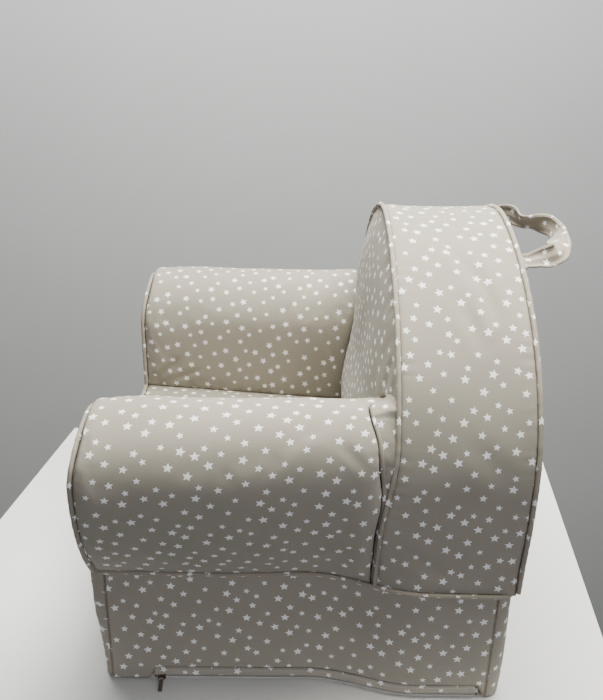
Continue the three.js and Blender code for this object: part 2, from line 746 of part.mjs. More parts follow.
// A limp loop that leaves the rear seam lying flat, turns on edge, folds over at its left
// corner and comes back with a half twist.
function carryHandle() {
  const rootRise = Math.sqrt(1 - (STRAP_HALF_SPAN / BACK_HALF_WIDTH) ** ARCH_FULLNESS);
  const rootHeight = ARCH_START + ARCH_HEIGHT * rootRise;
  const rootDepth = rearPipingDepth(rootHeight) + CORNER_LIFT + PIPING_RADIUS
    + STRAP_CLEARANCE;
  const reach = REAR + STRAP_REACH - rootDepth;
  // Share of the half span, share of the reach, height above the roots; then the strap's
  // direction across its width.
  const frames = [
    [1, 0, 0, -1, 0, 0],
    [1, 0.1, 0, -1, 0, 0],
    [0.985, 0.22, 2, -0.85, 0, 0.5],
    [0.95, 0.41, 5, -0.45, 0, 0.9],
    [0.88, 0.61, 8, -0.1, -0.75, 0.6],
    [0.74, 0.68, 10, 0, -1, 0.1],
    [0.34, 0.84, 8, 0, -0.8, -0.5],
    [-0.05, 1, 4, 0, -0.25, -0.95],
    [-0.22, 0.97, 6, 0.1, 0, -1],
    [-0.51, 0.62, 3, -0.7, 0.2, -0.6],
    [-0.8, 0.47, 4, -0.1, 0, -1],
    [-1, 0.06, 0, -1, 0, 0],
    [-1, 0, 0, -1, 0, 0],
  ];
  const middles = new THREE.CatmullRomCurve3(frames.map(([across, out, up]) => (
    v3(across * STRAP_HALF_SPAN, rootDepth + out * reach, rootHeight + up)
  )), false, 'centripetal');
  const widths = new THREE.CatmullRomCurve3(frames.map(([, , , x, y, z]) => v3(x, y, z)));
  const steps = 44;
  const rings = [];
  for (let i = 0; i <= steps; i++) {
    const run = i / steps;
    const middle = middles.getPoint(run);
    const tangent = middles.getTangent(run);
    const width = widths.getPoint(run);
    width.addScaledVector(tangent, -width.dot(tangent)).normalize();
    const face = tangent.clone().cross(width);
    const corner = (a, b) => middle.clone()
      .addScaledVector(width, a * STRAP_WIDTH / 2)
      .addScaledVector(face, b * STRAP_THICKNESS / 2);
    rings.push([corner(1, 1), corner(-1, 1), corner(-1, -1), corner(1, -1)]);
  }
  return loft(rings);
}

// ---- Zip ----

// Points along the zip's line, moved outward from the tape's plane, at height z.
function zipLine(yStart, yEnd, outward, z, steps = 20) {
  const points = [];
  for (let i = 0; i <= steps; i++) {
    const y = lerp(yStart, yEnd, i / steps);
    points.push(v3(baseHalfWidth(y) - ZIP_SETBACK + outward, y, z));
  }
  return points;
}

// A strip of rectangular section along the zip's line.
function zipStrip(yStart, yEnd, low, high, depth, outward = 0, steps = 20) {
  const edges = [
    zipLine(yStart, yEnd, outward + depth / 2, low, steps),
    zipLine(yStart, yEnd, outward + depth / 2, high, steps),
    zipLine(yStart, yEnd, outward - depth / 2, high, steps),
    zipLine(yStart, yEnd, outward - depth / 2, low, steps),
  ];
  return loft(edges[0].map((_, i) => edges.map((edge) => edge[i])));
}

function zipStop(y) {
  const length = STOP_LENGTH;
  return zipStrip(y, y + length, LOWER_ROW - TOOTH_ROW_HEIGHT, UPPER_ROW + TOOTH_ROW_HEIGHT,
    TOOTH_ROW_DEPTH + 0.6, 0, 1);
}

const SLIDER_Y = ZIP_FRONT + STOP_LENGTH + SLIDER_LENGTH / 2 + 1;
const SLIDER_X = BASE_FRONT_HALF_WIDTH - ZIP_SETBACK;
const PLATE_X = TOOTH_ROW_DEPTH / 2 + SLIDER_CLEARANCE + SLIDER_PLATE / 2;
const BAR_X = SLIDER_X + PLATE_X + SLIDER_PLATE / 2 + BAIL_REACH;
const BAIL_SPAN = PULL_WIDTH + 2 * PULL_CLEARANCE + BAIL_POST;

function block(width, depth, height, x, y, z) {
  const geometry = new THREE.BoxGeometry(width, depth, height);
  geometry.translate(x, y, z);
  return geometry;
}

// Two plates joined by a thin web that runs between the rows of teeth, and a bail outside.
function zipSlider() {
  const postLength = BAIL_REACH + BAIL_BAR / 2;
  const postX = SLIDER_X + PLATE_X + SLIDER_PLATE / 2 + postLength / 2 - 0.1;
  const parts = [
    block(SLIDER_PLATE, SLIDER_LENGTH, SLIDER_HEIGHT, SLIDER_X + PLATE_X, SLIDER_Y, ZIP_LEVEL),
    block(SLIDER_PLATE, SLIDER_LENGTH, SLIDER_HEIGHT, SLIDER_X - PLATE_X, SLIDER_Y, ZIP_LEVEL),
    block(2 * PLATE_X, SLIDER_LENGTH - 2, SLIDER_WEB, SLIDER_X, SLIDER_Y, ZIP_LEVEL),
    block(BAIL_BAR, BAIL_SPAN, BAIL_BAR, BAR_X, SLIDER_Y, ZIP_LEVEL),
  ];
  for (const side of [-1, 1]) {
    const y = SLIDER_Y + side * BAIL_SPAN / 2;
    parts.push(block(postLength + 0.2, BAIL_POST, BAIL_BAR, postX, y, ZIP_LEVEL));
  }
  return joined(...parts);
}

// A flat tab whose end is curled round the bail's bar; its tip rests near the floor.
function zipPull() {
  const eyeInner = BAIL_BAR / Math.SQRT2 + PULL_CLEARANCE;
  const eyeOuter = eyeInner + PULL_EYE_WALL;
  const eye = new THREE.Shape();
  eye.absarc(0, 0, eyeOuter, 0, Math.PI * 2, false);
  const hole = new THREE.Path();
  hole.absarc(0, 0, eyeInner, 0, Math.PI * 2, true);
  eye.holes.push(hole);
  const barrel = new THREE.ExtrudeGeometry(eye, {
    depth: PULL_WIDTH,
    bevelEnabled: false,
    curveSegments: 10,
  });
  barrel.translate(0, 0, -PULL_WIDTH / 2);
  const tab = block(PULL_LENGTH, PULL_THICKNESS, PULL_WIDTH,
    eyeOuter - 0.3 + PULL_LENGTH / 2, 0, 0);
  const geometry = joined(barrel, tab);
  geometry.rotateX(Math.PI / 2);
  const tipDrop = Math.asin((ZIP_LEVEL - 1) / (PULL_LENGTH + eyeOuter));
  geometry.rotateY(tipDrop);
  geometry.translate(BAR_X, SLIDER_Y, ZIP_LEVEL);
  return geometry;
}

function zipFlap() {
  return zipStrip(ZIP_FRONT, ZIP_REAR - 4, FLAP_BOTTOM, FLAP_TOP, FABRIC,
    ZIP_SETBACK + FLAP_STAND_OFF - FABRIC / 2, 24);
}

// ---- The assembly ----

const finishes = {
  foam: { color: 0xe9e2cf, roughness: 0.95, metalness: 0 },
  fabric: { color: 0xb5ac9e, roughness: 0.9, metalness: 0 },
  piping: { color: 0xa79e90, roughness: 0.9, metalness: 0 },
  tape: { color: 0xe8e6e0, roughness: 0.85, metalness: 0 },
  teeth: { color: 0xf0eeea, roughness: 0.4, metalness: 0 },
  metal: { color: 0x5d5550, roughness: 0.45, metalness: 0.8 },
};

const chair = new THREE.Group();

function add(name, finish, geometry) {
  const mesh = new THREE.Mesh(geometry, new THREE.MeshStandardMaterial(finishes[finish]));
  mesh.name = name;
  chair.add(mesh);
}

add('foam_base', 'foam', foamBase());
add('foam_seat', 'foam', foamSeat());
add('foam_left_arm', 'foam', foamArm());
add('foam_right_arm', 'foam', mirrored(foamArm()));
add('foam_back', 'foam', foamBack());

add('front_panel', 'fabric', frontPanel());
add('left_arm_wrap', 'fabric', armWrap());
add('right_arm_wrap', 'fabric', mirrored(armWrap()));
add('seat_panel', 'fabric', seatPanel());
add('inner_back_panel', 'fabric', innerBackPanel());
add('back_boxing', 'fabric', backBoxing());
add('outer_back_panel', 'fabric', outerBackPanel());
add('left_base_side', 'fabric', baseSide(true));
add('right_base_side', 'fabric', mirrored(baseSide(false)));
add('base_rear', 'fabric', baseRear());
add('bottom_panel', 'fabric', bottomPanel());

add('front_piping', 'piping', frontPiping());
add('back_front_piping', 'piping', backPiping(frontPipingDepth, -1));
add('back_rear_piping', 'piping', backPiping(rearPipingDepth, 1));
add('base_piping', 'piping', basePiping());
add('carry_handle', 'fabric', carryHandle());

add('zip_flap', 'fabric', zipFlap());
add('zip_upper_tape', 'tape', zipStrip(ZIP_FRONT, ZIP_REAR,
  UPPER_ROW + TOOTH_ROW_HEIGHT + TAPE_TO_TEETH, TAPE_TOP, TAPE_THICKNESS));
add('zip_lower_tape', 'tape', zipStrip(ZIP_FRONT, ZIP_REAR,
  TAPE_BOTTOM, LOWER_ROW - TOOTH_ROW_HEIGHT - TAPE_TO_TEETH, TAPE_THICKNESS));
const teethStart = ZIP_FRONT + STOP_LENGTH + TAPE_TO_TEETH;
const teethEnd = ZIP_REAR - STOP_LENGTH - TAPE_TO_TEETH;
add('zip_upper_teeth', 'teeth', zipStrip(teethStart, teethEnd,
  UPPER_ROW, UPPER_ROW + TOOTH_ROW_HEIGHT, TOOTH_ROW_DEPTH));
add('zip_lower_teeth', 'teeth', zipStrip(teethStart, teethEnd,
  LOWER_ROW - TOOTH_ROW_HEIGHT, LOWER_ROW, TOOTH_ROW_DEPTH));
add('zip_front_stop', 'metal', zipStop(ZIP_FRONT));
add('zip_end_stop', 'metal', zipStop(ZIP_REAR - STOP_LENGTH));
add('zip_slider', 'metal', zipSlider());
add('zip_pull', 'metal', zipPull());

export default chair;
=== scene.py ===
"""A child's foam armchair in a removable star-print slipcover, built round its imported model."""
import math

import bmesh
import bpy
import numpy as np
from mathutils import Matrix, Vector, geometry
from mathutils.kdtree import KDTree


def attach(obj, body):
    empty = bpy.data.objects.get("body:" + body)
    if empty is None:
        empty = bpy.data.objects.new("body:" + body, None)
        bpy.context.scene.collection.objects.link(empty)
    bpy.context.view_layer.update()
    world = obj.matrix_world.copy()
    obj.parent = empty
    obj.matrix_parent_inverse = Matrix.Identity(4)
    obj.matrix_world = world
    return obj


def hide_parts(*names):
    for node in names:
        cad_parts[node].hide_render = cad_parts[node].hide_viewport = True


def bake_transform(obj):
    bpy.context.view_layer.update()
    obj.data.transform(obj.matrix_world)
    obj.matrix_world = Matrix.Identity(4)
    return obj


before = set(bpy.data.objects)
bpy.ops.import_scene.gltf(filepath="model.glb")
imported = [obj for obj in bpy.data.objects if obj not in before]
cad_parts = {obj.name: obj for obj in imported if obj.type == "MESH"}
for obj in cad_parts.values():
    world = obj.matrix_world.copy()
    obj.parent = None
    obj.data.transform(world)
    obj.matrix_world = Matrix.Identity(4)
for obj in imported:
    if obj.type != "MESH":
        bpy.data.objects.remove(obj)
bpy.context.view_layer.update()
MM = 0.001

# ---- Sizes of the chair, in millimetres, as its parts have them ----
FRONT, REAR, DEPTH = -220.0, 220.0, 440.0
BACK_HALF_WIDTH, BACK_FOOT_NARROWING = 239.0, 6.0
ARCH_START, ARCH_HEIGHT, ARCH_FULLNESS = 270.0, 220.0, 1.73
BACK_THICKNESS, BACK_FOOT_STEP, BACK_DOME, CREST_LEAN = 134.0, 12.0, 20.0, 6.0
BASE_FRONT_HALF_WIDTH, BASE_REAR_SPREAD = 209.0, 24.0
BASE_SPREAD_START, BASE_SPREAD_LENGTH = 6.0, 120.0
BASE_CORNER, BASE_FRONT_CORNER = 18.0, 7.0
BOXING_BLEND = 90.0
SEAM_HEIGHT, SEAM_FALL = 150.0, 9.0
SEAM_BOW, SEAM_BOW_DEPTH, SEAM_BOW_LENGTH = 4.5, 5.0, 62.0   # the base seam's rise midway
BACK_STEP_LOW, BACK_STEP_HIGH = 212.0, 318.0   # heights between which the back's foot steps
ARM_REACH, ARM_REAR_TAPER, ARM_TOP, ARM_TOP_X = 276.0, 22.0, 351.0, 208.0
ARM_BULGE_HEIGHT, ARM_INNER_X = 288.0, 142.0
ARM_FRONT_ROUND, ARM_FRONT_DROP = 22.0, 17.0
ARM_REAR_ROUND, ARM_LEAN = 20.0, 8.0
ARM_DROOP, ARM_DROOP_LENGTH = 5.0, 75.0        # the arm's top sinks towards its front
ARM_GATHER, ARM_SHOULDER, ARM_CREST = 245.0, 322.0, 356.0   # heights where its rear seam bends
ARM_LOWER_SHARE, ARM_UPPER_SHARE, ARM_GIRTH = 0.33, 0.78, 456.0
SEAT_HALF_WIDTH, SEAT_HEIGHT, SEAT_FALL, SEAT_CROWN = 150.0, 192.0, 18.0, 3.0
PIPING_RADIUS, PIPING_LIFT, CORNER_LIFT = 2.5, 1.8, 1.3
ZIP_FRONT, ZIP_REAR, ZIP_LEVEL, ZIP_SETBACK = -165.0, 194.0, 4.6, 2.2
FLAP_TOP, FLAP_BOTTOM = 17.0, 8.4
TOOTH_PITCH, TOOTH_ROW_GAP, TOOTH_HALF_SIZE, STOP_LENGTH = 1.5, 2.1, (1.15, 0.5, 0.62), 3.0
STITCH_PITCH, STITCH_HALF_SIZE = 3.1, (0.26, 1.2, 0.26)   # real topstitching is 2.5 to 3.5
FLOOR_EDGE = 1.8

PANEL_STEP = 6.5      # spacing of a panel's points before its one subdivision
EDGE_STEP = 2.6       # the same for the first row along a seam
CLOTH_THICKNESS = 0.8
LEFT_LEAD, RIGHT_LEAD = 15.0, 4.0   # how far each arm's rear seam runs ahead of the piping
LAP_REACH, LAP_ROWS, LAP_END = 8.0, 9, 0.72   # the inner back's strip behind each arm
SEAM_TURN_IN, ALLOWANCE_RADIUS = (-1.4, 2.2, -0.6), 2.3   # turned-in cloth behind a seam
FRONT_WRAP = 8.0      # how far the front panel turns round the base's front corners


# ---- The chair's surfaces ----

def smooth(value, low, high):
    t = np.clip((value - low) / (high - low), 0, 1)
    return t * t * (3 - 2 * t)


def lerp(a, b, t):
    return a + (b - a) * t


def seam_height(y):
    bow = SEAM_BOW * np.exp(-((y - SEAM_BOW_DEPTH) / SEAM_BOW_LENGTH) ** 2)
    return SEAM_HEIGHT - SEAM_FALL * (y - FRONT) / DEPTH + bow


def base_half_width(y):
    return BASE_FRONT_HALF_WIDTH + BASE_REAR_SPREAD * smooth(
        y, BASE_SPREAD_START, BASE_SPREAD_START + BASE_SPREAD_LENGTH)


def arch_rise(z):
    return np.clip((z - ARCH_START) / ARCH_HEIGHT, 0, 1)


def back_half_width(z):
    arch = BACK_HALF_WIDTH * np.maximum(1 - arch_rise(z) ** 2, 0) ** (1 / ARCH_FULLNESS)
    foot = seam_height(REAR)
    climb = np.clip((z - foot) / (ARCH_START - foot), 0, 1)
    wall = BACK_HALF_WIDTH - BACK_FOOT_NARROWING * (1 - np.sin(climb * math.pi / 2))
    return np.where(z > ARCH_START, arch, wall)


def side_half_width(y, z):
    foot = seam_height(y)
    return lerp(base_half_width(y), back_half_width(z), smooth(z, foot, foot + BOXING_BLEND))


def back_edge_nearness(x, z):
    half = np.where(z > ARCH_START, BACK_HALF_WIDTH, back_half_width(z))
    return np.minimum(1, (np.abs(x) / half) ** ARCH_FULLNESS + arch_rise(z) ** 2)


def front_piping_depth(z):
    return REAR - BACK_THICKNESS - BACK_FOOT_STEP * (
        1 - smooth(z, BACK_STEP_LOW, BACK_STEP_HIGH))


def rear_piping_depth(z):
    return REAR - CREST_LEAN * arch_rise(z) ** 2


def inner_back_depth(x, z):
    return front_piping_depth(z) - BACK_DOME * (1 - back_edge_nearness(x, z) ** 2)


def seat_height(x, y):
    run = np.clip((y - FRONT) / (inner_back_depth(0.0, SEAT_HEIGHT) - FRONT), 0, 1)
    crown = SEAT_CROWN * (1 - (x / SEAT_HALF_WIDTH) ** 2) * np.sin(math.pi * run)
    return SEAT_HEIGHT - SEAT_FALL * run + crown


def arm_point(y, t):
    """The left arm's surface at depth y, a share t of the way round from base seam to seat."""
    from_front = np.clip((FRONT + ARM_FRONT_ROUND - y) / ARM_FRONT_ROUND, 0, 1)
    drop = ARM_FRONT_DROP * (1 - np.sqrt(1 - from_front ** 2))
    to_back = np.clip((y - FRONT) / (REAR - BACK_THICKNESS - FRONT), 0, 1)
    outer = ARM_REACH - ARM_REAR_TAPER * to_back - drop * 0.55
    top = ARM_TOP - drop
    inner = ARM_INNER_X + drop * 0.4
    climb = np.clip(t / ARM_LOWER_SHARE, 0, 1)
    angle = math.pi * np.clip((t - ARM_LOWER_SHARE) / (ARM_UPPER_SHARE - ARM_LOWER_SHARE), 0, 1)
    fall = np.clip((t - ARM_UPPER_SHARE) / (1 - ARM_UPPER_SHARE), 0, 1)
    half = np.where(angle < math.pi / 2, outer - ARM_TOP_X, ARM_TOP_X - inner)
    lower = (lerp(base_half_width(y), outer, 1 - (1 - climb) ** 2),
             lerp(seam_height(y), ARM_BULGE_HEIGHT, climb))
    roll = (ARM_TOP_X + half * np.cos(angle),
            ARM_BULGE_HEIGHT + (top - ARM_BULGE_HEIGHT) * np.sin(angle))
    inside = (lerp(inner, SEAT_HALF_WIDTH, fall ** 2),
              lerp(ARM_BULGE_HEIGHT, seat_height(SEAT_HALF_WIDTH, y), fall))
    x, z = (np.where(t < ARM_LOWER_SHARE, a, np.where(t < ARM_UPPER_SHARE, b, c))
            for a, b, c in zip(lower, roll, inside))
    return x, z


def back_outline(inset, foot, steps=96):
    """The back's outline from the left base seam over the crest to the right one: x, z rows."""
    wall_z = np.linspace(foot, ARCH_START, 24)[:-1]
    wall = np.column_stack([back_half_width(wall_z) - inset, wall_z])
    angle = np.linspace(0, math.pi, steps + 1)
    cosine = np.cos(angle)
    arch = np.column_stack([
        (BACK_HALF_WIDTH - inset) * np.sign(cosine) * np.abs(cosine) ** (2 / ARCH_FULLNESS),
        ARCH_START + (ARCH_HEIGHT - inset) * np.sin(angle)])
    return np.vstack([wall, arch, (wall * (-1, 1))[::-1]])


def half_footprint(inset):
    """The base's plan outline on the left, front middle to rear middle: x, y rows."""
    turn = np.linspace(0, math.pi / 2, 7)
    front_radius = max(BASE_FRONT_CORNER - inset, 1)
    radius = BASE_CORNER - inset
    front_x = BASE_FRONT_HALF_WIDTH - inset - front_radius
    rear_x = BASE_FRONT_HALF_WIDTH + BASE_REAR_SPREAD - inset - radius
    side_y = np.linspace(FRONT + BASE_FRONT_CORNER, REAR - BASE_CORNER, 49)[1:-1]
    return np.vstack([
        np.column_stack([front_x + front_radius * np.sin(turn),
                         FRONT + inset + front_radius - front_radius * np.cos(turn)]),
        np.column_stack([base_half_width(side_y) - inset, side_y]),
        np.column_stack([rear_x + radius * np.cos(turn),
                         REAR - inset - radius + radius * np.sin(turn)])])


def mirrored_path(half):
    """A left half and its mirror image as one run of points."""
    return np.vstack([half, (half * ((-1,) + (1,) * (half.shape[1] - 1)))[::-1]])


# ---- Paths and meshes ----

def lengths(points):
    """How far along a run of points each one lies."""
    return np.concatenate([[0], np.cumsum(np.linalg.norm(np.diff(points, axis=0), axis=1))])


def respaced(points, spacing):
    """The same run with points evenly spaced, about this far apart."""
    run = lengths(points)
    count = max(int(round(run[-1] / spacing)), 2) + 1
    at = np.linspace(0, run[-1], count)
    return np.column_stack([np.interp(at, run, points[:, k]) for k in range(points.shape[1])])


def stations(start, end, step=PANEL_STEP):
    """Places from start to end about a step apart, closer beside both ends."""
    span = end - start
    inner = np.linspace(EDGE_STEP, span - EDGE_STEP, max(int(round(span / step)), 2))
    return start + np.concatenate([[0], inner, [span]])


def mesh_object(name, points, faces, uv=None, material=None):
    """A smooth mesh from points in millimetres, with a UV map in metres."""
    mesh = bpy.data.meshes.new(name)
    mesh.from_pydata((np.asarray(points) * MM).tolist(), [], faces)
    if uv is not None:
        corners = np.zeros(len(mesh.loops), np.int32)
        mesh.loops.foreach_get("vertex_index", corners)
        layer = mesh.uv_layers.new(name="cloth")
        layer.data.foreach_set("uv", (np.asarray(uv)[corners] * MM).ravel())
    mesh.shade_smooth()
    obj = bpy.data.objects.new(name, mesh)
    bpy.context.scene.collection.objects.link(obj)
    if material:
        mesh.materials.append(material)
    return obj


def coordinates(mesh):
    flat = np.zeros(len(mesh.vertices) * 3)
    mesh.vertices.foreach_get("co", flat)
    return flat.reshape(-1, 3)


def vertex_normals(mesh):
    flat = np.zeros(len(mesh.vertices) * 3)
    mesh.vertex_normals.foreach_get("vector", flat)
    return flat.reshape(-1, 3)


def move_points(mesh, points):
    mesh.vertices.foreach_set("co", points.ravel())
    mesh.update()


def recalculated(obj):
    """Points a closed mesh's faces outwards."""
    work = bmesh.new()
    work.from_mesh(obj.data)
    bmesh.ops.remove_doubles(work, verts=work.verts, dist=1e-7)
    bmesh.ops.recalc_face_normals(work, faces=work.faces)
    work.to_mesh(obj.data)
    work.free()
    return obj


def thickened(obj, thickness, offset):
    wall = obj.modifiers.new("cloth thickness", "SOLIDIFY")
    wall.thickness, wall.offset = thickness * MM, offset


def grid_faces(rows, columns):
    index = np.arange(rows * columns).reshape(rows, columns)
    return np.stack([index[:-1, :-1], index[:-1, 1:], index[1:, 1:], index[1:, :-1]],
                    axis=-1).reshape(-1, 4).tolist()


def inside_outline(points, outline):
    """Which 2-D points lie inside a closed outline, and how far each is from it."""
    a, b = outline, np.roll(outline, -1, axis=0)
    x, y = points[:, :1], points[:, 1:]
    above = (a[:, 1] > y) != (b[:, 1] > y)
    with np.errstate(divide="ignore", invalid="ignore"):
        crossing = a[:, 0] + (y - a[:, 1]) * (b[:, 0] - a[:, 0]) / (b[:, 1] - a[:, 1])
    inside = np.sum(above & (x < crossing), axis=1) % 2 == 1
    along = b - a
    share = np.clip(((x - a[:, 0]) * along[:, 0] + (y - a[:, 1]) * along[:, 1])
                    / np.maximum((along ** 2).sum(1), 1e-9), 0, 1)
    gap = np.hypot(x - a[:, 0] - share * along[:, 0], y - a[:, 1] - share * along[:, 1])
    return inside, gap.min(axis=1)


def filled_outline(outline, spacing=PANEL_STEP):
    """Triangles that fill a closed 2-D outline, from a grid of points kept clear of it."""
    low, high = outline.min(0), outline.max(0)
    rows = np.arange(low[1], high[1], spacing * math.sqrt(0.75))
    columns = np.arange(low[0], high[0], spacing)
    points = np.array([(x + (k % 2) * spacing / 2, y)
                       for k, y in enumerate(rows) for x in columns])
    inside, gap = inside_outline(points, outline)
    points = points[inside & (gap > spacing * 0.62)]
    count = len(outline)
    loop = [(i, (i + 1) % count) for i in range(count)]
    everything = [Vector(p) for p in np.vstack([outline, points])]
    verts, _, faces, *_ = geometry.delaunay_2d_cdt(everything, loop, [], 1, 1e-5)
    return np.array([tuple(v) for v in verts]), [list(f) for f in faces]


# ---- Cover panels ----

class Panel:
    """One cut piece of the cover: its mesh, and how it is filled and sewn."""

    def __init__(self, name, points, faces, uv, inward, nodes, puff=3.0, tuck=1.4, sink=0.0):
        self.obj = mesh_object(name, points, faces, uv)
        self.nodes, self.puff, self.tuck, self.sink = nodes, puff, tuck, sink
        self.face_outwards(np.asarray(inward) * MM)

    def face_outwards(self, away_from):
        """Turns the faces over if they look towards a point inside the chair."""
        mesh = self.obj.data
        away = coordinates(mesh) - away_from
        if np.sum(away * vertex_normals(mesh)) < 0:
            mesh.flip_normals()

    def seams(self):
        """Points along the open edges, a millimetre apart, and how far along each lies."""
        mesh = self.obj.data
        work = bmesh.new()
        work.from_mesh(mesh)
        edges = [e for e in work.edges if e.is_boundary]
        following = {}
        for edge in edges:
            a, b = edge.verts
            following.setdefault(a.index, []).append(b.index)
            following.setdefault(b.index, []).append(a.index)
        place = {v.index: v.co.copy() for v in work.verts if v.is_boundary}
        work.free()
        left, chains = set(following), []
        while left:
            start = min(left)
            chain = [start]
            left.discard(start)
            while True:
                ahead = [k for k in following[chain[-1]] if k in left]
                if not ahead:
                    break
                chain.append(ahead[0])
                left.discard(ahead[0])
            chains.append(chain + [start])
        samples, along = [], []
        for chain in chains:
            fine = respaced(np.array([place[k] for k in chain]), 1.0 * MM)
            samples.append(fine)
            along.append(lengths(fine))
        return np.vstack(samples), np.concatenate(along)


def ripple(along, rng, longest, shortest, count=9):
    """A smooth random wave along a line, about -1 to 1."""
    total = np.zeros_like(along)
    for _ in range(count):
        total += np.sin(along * 2 * math.pi / rng.uniform(shortest, longest)
                        + rng.uniform(0, 2 * math.pi))
    return total / math.sqrt(count)


def swell(points, rng, longest, shortest, count=12):
    """A smooth random field over space, about -1 to 1."""
    total = np.zeros(len(points))
    for _ in range(count):
        direction = rng.normal(size=3)
        direction /= np.linalg.norm(direction)
        total += np.sin(points @ direction * 2 * math.pi / rng.uniform(shortest, longest)
                        + rng.uniform(0, 2 * math.pi))
    return total / math.sqrt(count)


def seam_distance(mesh, samples, along):
    """How far each vertex is from the seams, and where along them its nearest point lies."""
    tree = KDTree(len(samples))
    for k, point in enumerate(samples):
        tree.insert(point, k)
    tree.balance()
    found = [tree.find(v.co) for v in mesh.vertices]
    return np.array([f[2] for f in found]), along[[f[1] for f in found]]


def blow_out(panels, pressure=3.0, frames=18):
    """Swells every panel off its seams as a filled cover does, by cloth simulation."""
    rest = {}
    for panel in panels:
        mesh = panel.obj.data
        samples, along = panel.seams()
        panel.samples, panel.along = samples, along
        gap, _ = seam_distance(mesh, samples, along)
        rest[panel.obj.name] = (coordinates(mesh), vertex_normals(mesh), gap)
        pinned = panel.obj.vertex_groups.new(name="sewn")
        pinned.add([int(k) for k in np.flatnonzero(gap < 0.4 * MM)], 1.0, "REPLACE")
        cloth = panel.obj.modifiers.new("cover", "CLOTH")
        settings = cloth.settings
        settings.quality = 5
        settings.mass = 0.25
        settings.tension_stiffness = settings.compression_stiffness = 14
        settings.shear_stiffness = 6
        settings.bending_stiffness = 0.35
        settings.use_pressure = True
        settings.uniform_pressure_force = pressure
        settings.vertex_group_mass = "sewn"
        settings.shrink_min = -0.012
        settings.effector_weights.gravity = 0
        cloth.collision_settings.use_collision = False
    for number in range(1, frames + 1):
        bpy.context.scene.frame_set(number)
    graph = bpy.context.evaluated_depsgraph_get()
    for panel in panels:
        start, normals, gap = rest[panel.obj.name]
        moved = np.zeros_like(start)
        evaluated = panel.obj.evaluated_get(graph)
        moved = coordinates(evaluated.to_mesh()) - start
        evaluated.to_mesh_clear()
        panel.obj.modifiers.remove(panel.obj.modifiers["cover"])
        out = np.sum(moved * normals, axis=1)
        aside = moved - out[:, None] * normals
        slip = np.linalg.norm(aside, axis=1)[:, None]
        aside *= np.minimum(1, 1.5 * MM / np.maximum(slip, 1e-9))
        cap = panel.puff * MM
        out = np.clip(cap * np.tanh(out / cap), -0.3 * MM, None)
        move_points(panel.obj.data, start + out[:, None] * normals + aside)
        panel.obj.vertex_groups.clear()
    bpy.context.scene.frame_set(1)


def fold(points, start, end, depth, width):
    """A soft crease on both sides of the chair, from one point to another, fading at its ends."""
    place = points.copy()
    place[:, 0] = np.abs(place[:, 0])
    start, run = np.array(start, float), np.array(end, float) - start
    share = np.clip((place - start) @ run / (run @ run), 0, 1)
    away = np.linalg.norm(place - start - share[:, None] * run, axis=1)
    along = np.sin(math.pi * (0.08 + 0.84 * share))
    hollow = np.exp(-(away / width) ** 2)
    ridge = 0.45 * np.exp(-((away - 1.9 * width) / width) ** 2)
    return depth * along * (hollow - ridge)


def finish_panel(panel, material, seed, folds=()):
    """One subdivision, then the seam's ditch and puckers and the cloth's slow waves."""
    obj = panel.obj
    refine = obj.modifiers.new("refine", "SUBSURF")
    refine.levels = refine.render_levels = 1
    graph = bpy.context.evaluated_depsgraph_get()
    mesh = bpy.data.meshes.new_from_object(obj.evaluated_get(graph))
    obj.modifiers.clear()
    mesh.name = obj.name
    obj.data = mesh
    mesh.materials.clear()
    mesh.materials.append(material)
    rng = np.random.default_rng(seed)
    samples, along = panel.samples, panel.along
    gap, nearest = seam_distance(mesh, samples, along)
    points, normals = coordinates(mesh), vertex_normals(mesh)
    mm = gap / MM
    pucker = ripple(nearest, rng, 15 * MM, 7 * MM) * (mm / 4.5) * np.exp(1 - mm / 4.5)
    strength = 0.5 + 0.5 * np.clip(ripple(nearest, rng, 160 * MM, 70 * MM, 4), -1, 1)
    slow = swell(points, rng, 170 * MM, 70 * MM) * (1 - np.exp(-mm / 28))
    rise = 0.34 * pucker * strength + 0.75 * slow - panel.tuck * np.exp(-(mm / 2.6) ** 2)
    rise -= panel.sink * (1 - np.exp(-mm / 20))
    for start, end, depth, width in folds:
        rise -= fold(points / MM, start, end, depth, width) * (1 - np.exp(-mm / 7))
    move_points(mesh, points + normals * rise[:, None] * MM)
    # The distance to the seams, from which the cloth material paints shade into the seam ditches.
    seam = mesh.attributes.new("seam_gap", "FLOAT", "POINT")
    seam.data.foreach_set("value", mm.astype(np.float32))
    mesh.shade_smooth()
    thickened(obj, CLOTH_THICKNESS, -1)
    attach(obj, "chair")
    if panel.nodes:
        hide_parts(*panel.nodes)


def front_lean(z):
    """How far the arms' fronts lean back towards their tops."""
    return ARM_LEAN * smooth(z, ARM_BULGE_HEIGHT - 3, ARM_TOP + 1)


def arm_lead(z, lead):
    """How far ahead of the piping an arm's rear seam runs on its outer side."""
    return 1.0 + lead * (0.27 + smooth(z, ARM_GATHER, ARM_SHOULDER)
                         + 0.6 * smooth(z, ARM_SHOULDER, ARM_CREST))


def arm_end(x, z, lead):
    """Depth of an arm's rear seam: on the inner back, and ahead of the piping outside it."""
    outside = smooth(x, 176, 212)
    return lerp(inner_back_depth(x, z) + 1.0, front_piping_depth(z) - arm_lead(z, lead), outside)


